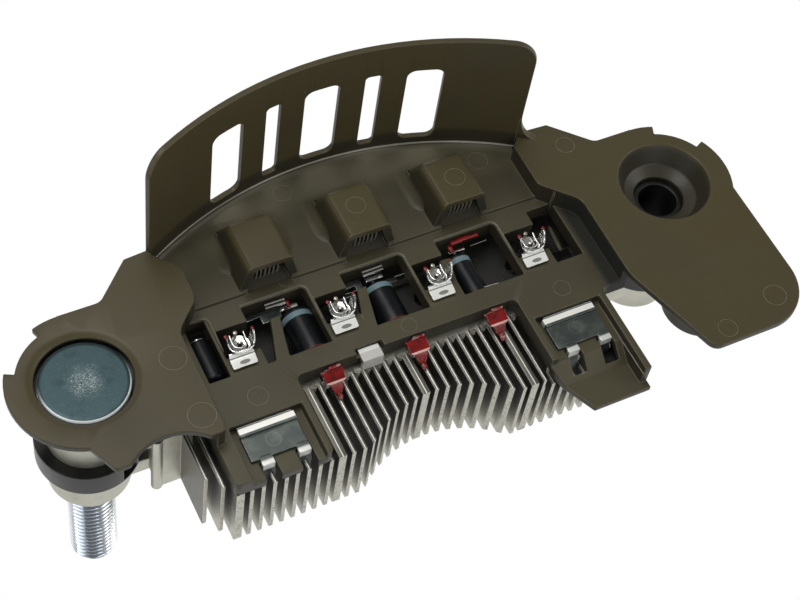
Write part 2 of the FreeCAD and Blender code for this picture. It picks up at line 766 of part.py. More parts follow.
def sleeve(label, x, hole, top):
    """Make an insulating sleeve with a wide flange between the two heat sinks."""
    level = "-boss_foot - flange_thick"
    tube_low = f"-foot_end + {LAP}"
    solids = [
        cylinder(label + "Flange", "flange_radius", "flange_thick", (x, "0", level)),
        cylinder(label + "Tube", "sleeve_radius", f"foot_end - boss_foot - {LAP}", (x, "0", tube_low)),
    ]
    if top:
        bush_size = f"{top} - ({tube_low})"
        solids.append(cylinder(label + "Bush", "bush_hole + bush_wall", bush_size, (x, "0", tube_low)))
    key_place = (f"{x} + key_side", f"-flange_radius - {LAP}", f"{level} + key_low")
    key = box(label + "Key", ("key_side", "key_side", "flange_thick"), key_place)
    bore = drill(label + "Bore", hole, x, "0")
    return keep(cut(label + "Whole", fuse(label + "Solid", solids), [bore, key]), label)


def field_diode(number):
    """Make a small cylindrical diode lying along Y with a wire at each end."""
    x = small_x(number)
    front = "small_rear - small_length"
    body = rod(f"SmallBody{number}", "small_radius", "small_length", (x, front, "-small_axis"))
    wire_place = (x, "-lead_end", "-small_axis")
    wire = prism(f"SmallWire{number}", "lead_sides", "lead_radius", "lead_end + bus_rear", wire_place)
    wire.Placement.Rotation = body.Placement.Rotation
    keep(fuse(f"SmallDiode{number}", [body, wire]), f"field_diode_{number + 1}")


def lead_tab(number):
    """Make a lacquered tab: folded behind, flat and pointed over the fins."""
    x = small_x(number)
    rear = f"-deck_front - {LAP}"
    level = "lead_radius - small_axis + sleeve_gap"
    flat = outline(f"Tab{number}", [
        (f"{x} - tab_wide / 2", rear),
        (f"{x} - tab_wide / 2", f"{rear} - tab_long / 2"),
        (f"{x} - tab_tip / 2", f"{rear} - tab_long"),
        (f"{x} + tab_tip / 2", f"{rear} - tab_long"),
        (f"{x} + tab_wide / 2", f"{rear} - tab_long / 2"),
        (f"{x} + tab_wide / 2", rear),
    ], level, "tab_thick")
    fold_place = (f"{x} - tab_wide / 2", f"{rear} - tab_fold", level)
    fold = box(f"TabFold{number}", ("tab_wide", "tab_fold", "tab_tall"), fold_place)
    return keep(fuse(f"TabWhole{number}", [flat, fold]), f"lead_tab_{number + 1}")


def ac_terminal(number):
    """Make a stamped terminal: flange, upright clamp, step and strip to the rear."""
    x = terminal_x(number)
    left = f"{x} - terminal_wide / 2"
    level = "-deck_depth"
    clamp_rear = "(lead_row + terminal_wide / 2)"
    strip_low = "-strip_top - sheet"
    name = f"Terminal{number}"
    flange_size = ("terminal_wide", "terminal_front + lead_row", "sheet")
    whole = fuse(name + "Whole", [
        box(name + "Flange", flange_size, (left, "-terminal_front", level)),
        cylinder(name + "Clamp", "terminal_wide / 2", "clamp_tall", (x, "lead_row", level)),
        box(name + "Step", ("strip_wide", "sheet", f"sheet + {level} - ({strip_low})"),
            (f"{x} - strip_wide / 2", f"{clamp_rear} - sheet", strip_low)),
        box(name + "Strip", ("strip_wide", f"strip_end - {clamp_rear} + sheet", "sheet"),
            (f"{x} - strip_wide / 2", f"{clamp_rear} - sheet", strip_low)),
    ])
    mouth_place = (f"{x} - clamp_mouth / 2", "lead_row", f"{level} + sheet")
    fork_place = (f"{x} - fork_wide / 2", "pellet_row - fork_wide / 2", f"{strip_low} - {LAP}")
    cutters = [
        drill(name + "Inside", "terminal_wide / 2 - sheet", x, "lead_row"),
        box(name + "Mouth", ("clamp_mouth", "terminal_wide", "clamp_tall"), mouth_place),
        box(name + "Fork", ("fork_wide", "strip_end", "2 * sheet"), fork_place),
    ]
    return keep(cut(name, whole, cutters), f"ac_terminal_{number + 1}")


def pressed_diode(label, x, y, seat, tip):
    """Make a pressed diode: a flat pellet with a wire standing up from it."""
    pellet = prism(label + "Pellet", "pellet_sides", "pellet_radius", "pellet_height", (x, y, seat))
    wire = prism(label + "Wire", "lead_sides", "lead_radius", f"{tip} - ({seat})", (x, y, seat))
    keep(fuse(label + "Whole", [pellet, wire]), label)


def field_bus():
    """Make the strip under the terminals' strips with an ear at each small diode."""
    low = "-bus_top - bus_tall"
    length = "2 * small_pitch + ear_wide"
    bars = [box("BusBar", (length, "sheet", "bus_tall"), ("small_first - ear_wide / 2", "bus_rear", low))]
    for number in range(3):
        place = (f"{small_x(number)} - ear_wide / 2", "bus_rear", low)
        ear_size = ("ear_wide", "sheet", f"ear_wide / 2 - small_axis - ({low})")
        bars.append(box(f"BusEar{number}", ear_size, place))
    return keep(fuse("Bus", bars), "field_bus")


def bus_tab():
    """Make the small tinned tab that hangs over the deck's front edge."""
    x = f"{terminal_x(1)} - bus_tab_wide / 2 + 1.5 * bus_tab_notch"
    front = f"-deck_front - {LAP} - sheet"
    floor = "-deck_depth - seat_drop"
    flat_size = ("bus_tab_wide", f"bus_tab_notch - deck_front - ({front})", "sheet")
    flat = box("BusTabFlat", flat_size, (x, front, floor))
    lip_size = ("bus_tab_wide", "sheet", f"sink_top + {floor}")
    lip = box("BusTabLip", lip_size, (x, front, "-sink_top"))
    return keep(fuse("BusTab", [flat, lip]), "bus_tab")


def contact_plate(side, leg, first):
    """Make a contact plate: sheet with a folded rear hem and two front prongs."""
    left = f"{leg} + contact_set"
    floor = "-deck_depth - seat_drop"
    front = f"-seat_rear - {LAP} - contact_long"
    hem_place = (left, f"-seat_rear - {LAP} - hem_wide", floor)
    solids = [
        box(side + "Sheet", ("contact_wide", "contact_long", "contact_sheet"), (left, front, floor)),
        box(side + "Hem", ("contact_wide", "hem_wide", "2 * contact_sheet"), hem_place),
    ]
    for number in (first, first + 1):
        x = f"{notch_left(number)} + (prong_notch - prong_wide) / 2"
        tongue_front = "-notch_rear - terminal_gap - sheet"
        tongue_size = ("prong_wide", f"{front} + {LAP} - ({tongue_front})", "contact_sheet")
        solids.append(box(f"{side}Tongue{number}", tongue_size, (x, tongue_front, floor)))
        prong_size = ("prong_wide", "sheet", f"prong_low + {floor} + contact_sheet")
        solids.append(box(f"{side}Prong{number}", prong_size, (x, tongue_front, "-prong_low")))
    return keep(fuse(side + "Contact", solids), f"{side}_contact_plate")


def check(item):
    """Stop on an object that failed to recompute."""
    if set(item.State) & {"Invalid", "Error"}:
        raise RuntimeError(f"{item.Name} ({item.Label}) did not recompute: {item.State}")


def write(item):
    """Stop on a shape that can't be used and write a good one."""
    shape = item.Shape
    if shape.isNull() or not shape.isValid() or len(shape.Solids) != 1:
        raise RuntimeError(f"{item.Label} is not one good solid")
    shape.exportStep(f"parts/{item.Label}.step")
    print(f"{item.Label}: {shape.Volume / 1000:.2f} cm3")


def main():
    """Build every sub-part, check it and write it."""
    terminal_board()
    positive_heat_sink()
    negative_heat_sink()
    b_plus_stud()
    sleeve("stud_insulator", "0", "stud_radius + sleeve_gap", "")
    sleeve("bolt_insulator", "hole_span", "bush_hole", "-recess_depth - terminal_gap")
    for number in range(3):
        field_diode(number)
        lead_tab(number)
    for number in range(4):
        x = terminal_x(number)
        ac_terminal(number)
        tip = "(clamp_tall - deck_depth - 2 * sheet)"
        pressed_diode(f"negative_diode_{number + 1}", x, "lead_row", "-plate_top", tip)
        tip = "(sheet - strip_top)"
        pressed_diode(f"positive_diode_{number + 1}", x, "pellet_row", "-sink_plate_top", tip)
    field_bus()
    bus_tab()
    contact_plate("left", "left_edge", 0)
    contact_plate("right", "right_leg_side", 2)
    doc.recompute()
    for item in doc.Objects:
        check(item)
    os.makedirs("parts", exist_ok=True)
    for item in nodes:
        write(item)


main()
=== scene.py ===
"""Looks of an alternator rectifier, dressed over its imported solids."""
import logging
import math
from dataclasses import dataclass, field
from enum import Enum
from functools import partial
from typing import Callable, Iterable, Sequence

import bmesh
import bpy
from mathutils import Matrix, Vector


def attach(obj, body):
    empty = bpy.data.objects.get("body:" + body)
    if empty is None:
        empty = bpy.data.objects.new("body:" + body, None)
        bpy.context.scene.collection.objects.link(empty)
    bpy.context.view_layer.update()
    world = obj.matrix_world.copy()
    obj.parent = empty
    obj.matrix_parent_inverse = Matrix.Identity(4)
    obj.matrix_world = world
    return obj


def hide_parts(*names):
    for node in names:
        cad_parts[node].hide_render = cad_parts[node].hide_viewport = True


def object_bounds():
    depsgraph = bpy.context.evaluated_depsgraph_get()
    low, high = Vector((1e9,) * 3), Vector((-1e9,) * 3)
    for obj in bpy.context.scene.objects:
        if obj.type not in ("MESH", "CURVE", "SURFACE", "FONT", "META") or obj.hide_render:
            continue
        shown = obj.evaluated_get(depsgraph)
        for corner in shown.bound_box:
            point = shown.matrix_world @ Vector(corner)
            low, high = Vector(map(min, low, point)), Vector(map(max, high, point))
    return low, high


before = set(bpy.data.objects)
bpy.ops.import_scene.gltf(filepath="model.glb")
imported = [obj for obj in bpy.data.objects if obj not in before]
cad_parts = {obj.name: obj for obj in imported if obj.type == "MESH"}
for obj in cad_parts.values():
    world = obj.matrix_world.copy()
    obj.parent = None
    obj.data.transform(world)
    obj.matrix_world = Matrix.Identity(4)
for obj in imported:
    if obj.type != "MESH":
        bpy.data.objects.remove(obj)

LOG = logging.getLogger("rectifier")
MM = 0.001
START_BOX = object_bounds()

Point = tuple[float, float, float]
Place = tuple[float, float]
Line = tuple[Place, ...]
Table = tuple[tuple[float, ...], ...]
Link = bpy.types.NodeSocket
Tree = bpy.types.NodeTree
Node = bpy.types.Node
Piece = bpy.types.Object
Material = bpy.types.Material


class Slot(str, Enum):
    """Names of the record's material slots."""

    BOARD = "board"
    SINK = "sink_metal"
    ZINC = "zinc_steel"
    INSULATOR = "insulator"
    TINNED = "tinned_metal"
    CONTACT = "contact_metal"
    LACQUER = "red_lacquer"
    DIODE = "diode_case"
    NICKEL = "nickel_case"


class Value:
    """A shader number that ordinary operators compute with."""

    def __init__(self, graph: "Graph", socket: Link) -> None:
        """Keep the graph and the socket that carries the number."""
        self.graph = graph
        self.socket = socket

    def _math(self, operation: str, first: object, second: object, clamp: bool = False) -> "Value":
        """Return the result of a Math node on two numbers."""
        settings = {"operation": operation, "use_clamp": clamp}
        return Value(self.graph, self.graph.add("Math", settings, {0: first, 1: second}).outputs[0])

    def __add__(self, other: object) -> "Value":
        """Return the sum."""
        return self._math("ADD", self, other)

    def __sub__(self, other: object) -> "Value":
        """Return the difference."""
        return self._math("SUBTRACT", self, other)

    def __rsub__(self, other: object) -> "Value":
        """Return the difference, taken the other way round."""
        return self._math("SUBTRACT", other, self)

    def __mul__(self, other: object) -> "Value":
        """Return the product."""
        return self._math("MULTIPLY", self, other)

    __radd__ = __add__
    __rmul__ = __mul__

    def wrapped(self, centre: float, pitch: float) -> "Value":
        """Return the signed distance to the nearest of a row of places."""
        return self._math("FLOORED_MODULO", self + (pitch / 2 - centre), pitch) - pitch / 2

    def within(self, low: float, high: float, soft: float) -> "Value":
        """Return one between two numbers, falling to zero over a soft width outside them."""
        return self.rise(low - soft, low) * self.rise(high + soft, high)

    def most(self, other: object) -> "Value":
        """Return the higher of two numbers."""
        return self._math("MAXIMUM", self, other)

    def rise(self, low: float, high: float) -> "Value":
        """Return a smooth step from zero at low to one at high.

        Args:
            low: Where the step starts.
            high: Where it ends. Below low, the step falls instead.

        Returns:
            The smooth step.
        """
        ends = (1.0, 0.0) if low > high else (0.0, 1.0)
        values = {"Value": self, "From Min": min(low, high), "From Max": max(low, high)}
        values.update({"To Min": ends[0], "To Max": ends[1]})
        node = self.graph.add("MapRange", {"interpolation_type": "SMOOTHSTEP"}, values)
        return Value(self.graph, node.outputs["Result"])


class Tint(Value):
    """A shader colour."""

    def mix(self, other: object, factor: object) -> "Tint":
        """Return this colour mixed with another by a factor."""
        node = self.graph.add("Mix", {"data_type": "RGBA"}, {0: factor, 6: self, 7: other})
        return Tint(self.graph, node.outputs[2])


class Arrow(Value):
    """A shader vector."""

    def stretch(self, scale: Point) -> "Arrow":
        """Return the vector with each coordinate scaled."""
        node = self.graph.add("VectorMath", {"operation": "MULTIPLY"}, {0: self, 1: scale})
        return Arrow(self.graph, node.outputs[0])

    def shift(self, way: Point) -> "Arrow":
        """Return the vector moved by a fixed way."""
        node = self.graph.add("VectorMath", {"operation": "ADD"}, {0: self, 1: way})
        return Arrow(self.graph, node.outputs[0])

    def dot(self, other: object) -> Value:
        """Return the scalar product with another vector."""
        node = self.graph.add("VectorMath", {"operation": "DOT_PRODUCT"}, {0: self, 1: other})
        return Value(self.graph, node.outputs["Value"])

    def length(self) -> Value:
        """Return the vector's length."""
        node = self.graph.add("VectorMath", {"operation": "LENGTH"}, {0: self})
        return Value(self.graph, node.outputs["Value"])


class Graph:
    """The nodes of one material."""

    def __init__(self, name: str) -> None:
        """Make an empty material with a Principled shader.

        Args:
            name: The material's name.
        """
        self.material = bpy.data.materials.new(name)
        self.material.use_nodes = True
        self.tree = self.material.node_tree
        self.tree.nodes.clear()
        self.shader = self.add("BsdfPrincipled")
        output = self.tree.nodes.new("ShaderNodeOutputMaterial")
        self.tree.links.new(self.shader.outputs[0], output.inputs["Surface"])

    def add(self, kind: str, settings: dict | None = None, values: dict | None = None) -> Node:
        """Add a node to the material.

        Args:
            kind: The node's type without its ShaderNode prefix.
            settings: Properties, set first.
            values: Links or constants by the sockets' names or numbers.

        Returns:
            The new node.
        """
        node = self.tree.nodes.new("ShaderNode" + kind)
        for key, item in (settings or {}).items():
            setattr(node, key, item)
        for key, item in (values or {}).items():
            self.feed(node.inputs[key], item)
        return node

    def feed(self, socket: Link, item: object) -> None:
        """Link a computed value to a socket, or set a constant on it.

        Args:
            socket: The socket.
            item: A computed value, a number, a colour or a vector.
        """
        if isinstance(item, Value):
            self.tree.links.new(item.socket, socket)
        elif isinstance(item, tuple) and len(socket.default_value) == 4:
            socket.default_value = (*item, 1.0)
        else:
            socket.default_value = item

    def place(self) -> Arrow:
        """Return the object's own coordinates in millimetres."""
        metres = Arrow(self, self.add("TexCoord").outputs["Object"])
        return metres.stretch((1.0 / MM, 1.0 / MM, 1.0 / MM))

    def part(self, vector: Arrow, axis: str) -> Value:
        """Return the X, Y or Z of a vector."""
        return Value(self, self.add("SeparateXYZ", None, {0: vector}).outputs[axis])

    def noise(self, vector: Arrow, scale: float, detail: float = 3.0, rough: float = 0.55) -> Value:
        """Return fractal noise of a vector, about one half on average."""
        values = {"Vector": vector, "Scale": scale, "Detail": detail, "Roughness": rough}
        return Value(self, self.add("TexNoise", None, values).outputs[0])

    def cells(self, vector: Arrow, scale: float) -> Value:
        """Return the distance to the nearest of scattered points."""
        values = {"Vector": vector, "Scale": scale}
        return Value(self, self.add("TexVoronoi", None, values).outputs["Distance"])

    def tint(self, colour: Point) -> Tint:
        """Return a plain colour to start a mix from."""
        return Tint(self, self.add("Mix", {"data_type": "RGBA"}, {0: 0.0, 6: colour}).outputs[2])

    def facing(self) -> Arrow:
        """Return the surface's own normal."""
        return Arrow(self, self.add("NewGeometry").outputs["Normal"])

    def edges(self, radius: float) -> Value:
        """Return a mask of the edges within a radius in millimetres."""
        soft = Arrow(self, self.add("Bevel", {"samples": 6}, {"Radius": radius * MM}).outputs[0])
        return (1.0 - soft.dot(self.facing())).rise(0.004, 0.09)

    def relief(self, height: Value, depth: float, strength: float) -> Arrow:
        """Return the normal of a relief.

        Args:
            height: The relief's height, from zero to one.
            depth: Its full depth in millimetres.
            strength: How strongly it shows.

        Returns:
            The bent normal.
        """
        values = {"Strength": strength, "Distance": depth * MM, "Height": height}
        return Arrow(self, self.add("Bump", None, values).outputs[0])

    def coat(self, varied: dict[str, object], fixed: dict[str, float] | None = None) -> Material:
        """Feed the shader and finish the material.

        Args:
            varied: What varies over the surface, by the shader's sockets.
            fixed: What is the same everywhere, by the shader's sockets.

        Returns:
            The material.
        """
        for key, item in {**varied, **(fixed or {})}.items():
            self.feed(self.shader.inputs[key], item)
        return self.material


@dataclass(frozen=True)
class BoardPlastic:
    """Satin brown moulding with flow marks and pale flecks, and painted shade and highlights.

    Shade is painted on steep sides, in the hoods' mouths, in the bolt cup, on the drop beside the
    right wing and on the deck under the hoods. Highlights are painted on the edges and along the
    wall's foot, and the floor by the wall is painted paler for the light that falls there.

    Attributes:
        brown: Colour of the wings, the hoods and the wall.
        deck: Colour of the lower deck.
        floor: Colour of the floor close to the wall, painted paler for the light that falls there.
        dark: Colour of the clouds, and of the painted shade on the deck under the hoods.
        steep: Colour of the painted shade on steep sides, in the hoods' mouths and in the bolt cup.
        pocket: Colour of the painted shade on the drop beside the right wing.
        fleck: Colour of the flecks and scratches.
        edge: Colour of the painted highlights on the edges.
        foot: Colour of the lit line along the wall's foot.
        wall_axis: Where the wall's circle has its centre.
        wall_inner: Radius of the wall's inner face.
        floor_reach: Reach from that centre where the floor's colour starts and is full.
        low_heights: Heights at which the deck's colour starts and is full.
        dim: Where the deck lies in the hoods' shade, in X and in Y.
        drop: Where the drop beside the wing starts and is full in X, then where it ends.
        drop_along: The drop's two ends in Y.
        bolt_x: X of the bolt hole.
        cup_radii: Radii where the shade in the bolt cup starts and is full.
        hoods: Ends of the row of hoods in X.
        hood_first: X of the first hood's middle.
        hood_pitch: From one hood to the next.
        mouth: Ends of a hood's mouth in Y.
        mouth_half: Half the width of a mouth.
        line: Lowest and highest part of the lit line.
        line_across: Ends of the lit line in X.
    """

    brown: Point = (0.064, 0.052, 0.022)
    deck: Point = (0.064, 0.056, 0.031)
    floor: Point = (0.135, 0.122, 0.08)
    dark: Point = (0.052, 0.044, 0.026)
    steep: Point = (0.022, 0.02, 0.0135)
    pocket: Point = (0.012, 0.012, 0.0095)
    fleck: Point = (0.3, 0.28, 0.2)
    edge: Point = (0.4, 0.38, 0.3)
    foot: Point = (0.62, 0.61, 0.52)
    wall_axis: Point = (50.0, -36.79, 0.0)
    wall_inner: float = 63.3
    floor_reach: Place = (54.0, 60.0)
    low_heights: Place = (-1.0, -2.6)
    dim: tuple[Place, Place] = ((22.0, 80.0), (7.0, 12.5))
    drop: tuple[Place, Place] = ((83.5, 84.9), (96.0, 95.0))
    drop_along: Place = (-12.6, 14.0)
    bolt_x: float = 101.7
    cup_radii: Place = (10.5, 9.5)
    hoods: Place = (28.0, 73.0)
    hood_first: float = 33.3
    hood_pitch: float = 17.1
    mouth: Place = (7.75, 11.0)
    mouth_half: float = 3.9
    line: Place = (-2.62, -2.34)
    line_across: Place = (17.3, 82.6)

    def make(self) -> Material:
        """Paint the plastic.

        Returns:
            The material.
        """
        graph = Graph("board_plastic")
        place = graph.place()
        across, along, height = (graph.part(place, axis) for axis in "XYZ")
        cloud = graph.noise(place, 0.045, 3.0, 0.5)
        flow = graph.noise(place.stretch((0.25, 1.0, 1.0)), 0.22, 5.0, 0.6)
        fleck = graph.noise(place, 2.4, 2.0, 0.7).rise(0.7, 0.77)
        scratch = graph.noise(place.stretch((1.0, 0.08, 1.0)), 1.7, 3.0, 0.6).rise(0.68, 0.78)
        grain = graph.noise(place, 5.5, 4.0, 0.6)
        low = height.rise(*self.low_heights)
        steep = graph.facing().dot((0.0, 0.0, 1.0)).rise(0.75, 0.25) * height.rise(1.5, 0.2)
        reach = place.shift(tuple(-c for c in self.wall_axis)).stretch((1.0, 1.0, 0.0)).length()
        floor = low * reach.rise(*self.floor_reach)
        dim = along.within(*self.dim[1], 3.0) * across.within(*self.dim[0], 3.0) * low
        drop = self.drop_mask(across, along, height)
        cup = place.shift((-self.bolt_x, 0.0, 0.0)).stretch((1.0, 1.0, 0.0)).length()
        cup = cup.rise(*self.cup_radii) * height.rise(-0.3, -0.9)
        mouth = self.mouth_mask(across, along, height)
        line = height.within(*self.line, 0.12)
        line = line * reach.within(self.wall_inner - 0.5, self.wall_inner + 0.2, 0.1)
        line = line * across.within(*self.line_across, 0.3)
        # Painted light: the floor close to the wall is painted paler, as if lit.
        base = graph.tint(self.brown).mix(self.deck, low * 0.9).mix(self.floor, floor)
        base = base.mix(self.dark, cloud.rise(0.42, 0.72) * (low * 0.25 + 0.55))
        # Painted shade on the deck under the hoods, over the real flow marks.
        base = base.mix(self.dark, dim * 0.6).mix(self.deck, flow.rise(0.5, 0.75) * 0.3)
        # Painted shade on steep sides and on the drop beside the right wing.
        base = base.mix(self.steep, steep * 0.78).mix(self.pocket, drop * 0.95)
        # Painted shade in the bolt cup and in the hoods' mouths.
        base = base.mix(self.steep, (cup * 0.8).most(mouth * 0.6))
        base = base.mix(self.fleck, fleck * 0.35 + scratch * 0.1)
        # Painted highlight: the edges are painted paler, as if they catch the light.
        base = base.mix(self.edge, graph.edges(0.2) * 0.62)
        # Painted highlight along the wall's foot.
        base = base.mix(self.foot, line * (flow * 0.6 + 0.55))
        rough = flow * 0.16 + cloud * 0.1 + 0.28 - floor * 0.05
        varied = {
            "Base Color": base,
            "Roughness": rough + (mouth * 0.4).most(drop * 0.3),
            "Normal": graph.relief(grain * 0.35 + flow * 0.65, 0.03, 0.4),
        }
        return graph.coat(varied, {"Specular IOR Level": 0.3})

    def drop_mask(self, across: Value, along: Value, height: Value) -> Value:
        """Return a mask of the drop from the right wing down to the deck, where shade is painted.
        """
        inside = across.rise(*self.drop[0]) * across.rise(*self.drop[1])
        return inside * along.within(*self.drop_along, 1.0) * height.rise(-0.3, -0.7)

    def mouth_mask(self, across: Value, along: Value, height: Value) -> Value:
        """Return a mask of the hoods' mouths, where shade is painted.

        Args:
            across: The X coordinate.
            along: The Y coordinate.
            height: The Z coordinate.

        Returns:
            The mask.
        """
        hood = across.wrapped(self.hood_first, self.hood_pitch)
        half = self.mouth_half
        inside = along.within(*self.mouth, 0.3) * hood.within(-half, half, 0.1)
        return inside * height.rise(0.9, 0.6) * across.within(*self.hoods, 0.1)


@dataclass(frozen=True)
class CastAluminium:
    """Aluminium with drag marks, pits and rough sawn fronts, and painted shade and highlights.

    Shade is painted on the fins' sides, darkest at the top, on the fins' tops, on the outermost
    side, under the board and in the gap round the stud. Highlights are painted on the edges and
    along the fins' tops.

    Attributes:
        pale: Colour of the plain metal.
        black: Colour of the painted shade on what lies under the board and in the gap round the
            stud.
        dull: Colour of the clouds, and of the painted shade on the outermost side.
        fin_shade: Colour of the painted shade on the fins' sides and tops and on the outermost
            side.
        sawn: Colour of the sawn fronts.
        pit: Colour of pits and chips.
        edge: Colour of the painted highlights on the edges and along the fins' tops.
        fin_sides: Heights between which the painted shade on the fins' sides sets in.
        fin_first: X of the first fin.
        fin_pitch: From one fin to the next.
        fins: Ends of the row of fins in X.
        bright: Ends of the painted highlight line on a fin's top, from the fin's left side.
        under: Where the sink lies under the board: both ends in X, then in Y.
        seat: Radii at which the painted shade in the gap round the stud ends.
    """

    pale: Point = (0.5, 0.49, 0.415)
    black: Point = (0.012, 0.012, 0.011)
    dull: Point = (0.3, 0.29, 0.25)
    fin_shade: Point = (0.055, 0.052, 0.043)
    sawn: Point = (0.6, 0.585, 0.51)
    pit: Point = (0.14, 0.13, 0.1)
    edge: Point = (0.9, 0.89, 0.84)
    fin_sides: Place = (-19.5, -8.5)
    fin_first: float = 11.7
    fin_pitch: float = 1.86
    fins: tuple[Place, Place] = ((12.0, 12.3), (80.0, 79.5))
    bright: Place = (0.0, 0.11)
    under: tuple[Place, Place, Place, Place] = (
        (15.0, 17.0), (87.0, 85.0), (-9.0, -8.0), (12.0, 7.0),
    )
    seat: Place = (8.6, 8.0)

    def make(self) -> Material:
        """Paint the metal.

        Returns:
            The material.
        """
        graph = Graph("cast_aluminium")
        place = graph.place()
        across, along, depth = (graph.part(place, axis) for axis in "XYZ")
        normal = graph.facing()
        cloud = graph.noise(place, 0.12, 4.0, 0.55)
        grain = graph.noise(place, 3.4, 5.0, 0.7)
        drag = graph.noise(place.stretch((1.0, 1.0, 0.12)), 1.4, 4.0, 0.65)
        chips = graph.noise(place, 2.6, 4.0, 0.75)
        pit = graph.cells(place, 1.5).rise(0.24, 0.1) * graph.noise(place, 0.6, 2.0).rise(0.5, 0.6)
        side = (normal.dot((1.0, 0.0, 0.0)) * normal.dot((1.0, 0.0, 0.0))).rise(0.55, 0.9)
        front = normal.dot((0.0, -1.0, 0.0)).rise(0.45, 0.8) * along.rise(-12.0, -14.0)
        finned = along.rise(-9.0, -11.0) * side
        finned = finned * across.rise(*self.fins[0]) * across.rise(*self.fins[1])
        shade = (depth + drag * 3.0).rise(*self.fin_sides) * finned
        tops = along.rise(-9.5, -11.0) * normal.dot((0.0, 0.0, 1.0)).rise(0.6, 0.9)
        beside = across.wrapped(self.fin_first, self.fin_pitch) + drag * 0.08
        lines = tops * beside.within(*self.bright, 0.05)
        outer = side * across.rise(12.1, 11.9) * along.rise(-9.0, -11.0)
        hidden = self.hidden_mask(place, across, along, depth)
        # Painted shade: the outermost side, the fins' sides (darkest at the top), what lies under
        # the board and the fins' tops are painted dark.
        base = graph.tint(self.pale).mix(self.dull, (cloud.rise(0.4, 0.7) * 0.5).most(outer))
        base = base.mix(self.fin_shade, outer * 0.55).mix(self.fin_shade, shade * 0.93)
        base = base.mix(self.black, hidden * 0.97).mix(self.fin_shade, tops * 0.8)
        base = base.mix(self.sawn, front * 0.85).mix(self.pit, front * chips.rise(0.5, 0.62) * 0.6)
        base = base.mix(self.pit, pit * 0.55).mix(self.pit, finned * drag.rise(0.55, 0.7) * 0.45)
        # Painted highlight on the edges and along the fins' tops.
        edge_highlight = graph.edges(0.14) * (0.6 - tops * 0.4) * (1.0 - hidden)
        base = base.mix(self.edge, edge_highlight.most(lines * 0.95))
        relief = grain * 0.5 + drag * 0.3 + chips * front * 0.9 - pit * 0.8
        varied = {
            "Base Color": base,
            "Metallic": (0.85 - front * 0.45 - lines * 0.5) * (1.0 - hidden),
            "Roughness": grain * 0.2 + front * 0.2 + hidden * 0.4 + 0.32,
            "Normal": graph.relief(relief, 0.1, 0.7),
        }
        return graph.coat(varied)

    def hidden_mask(self, place: Arrow, across: Value, along: Value, depth: Value) -> Value:
        """Return a mask of the painted shade under the board and in the gap round the stud.

        Args:
            place: The place on the piece.
            across: Its X coordinate.
            along: Its Y coordinate.
            depth: Its Z coordinate.

        Returns:
            The mask.
        """
        left, right, front, rear = self.under
        under = along.rise(*front) * along.rise(*rear) * across.rise(*left) * across.rise(*right)
        gap = place.stretch((1.0, 1.0, 0.0)).length().rise(*self.seat) * depth.rise(-9.0, -7.0)
        return (under * depth.rise(-19.5, -18.5)).most(gap)


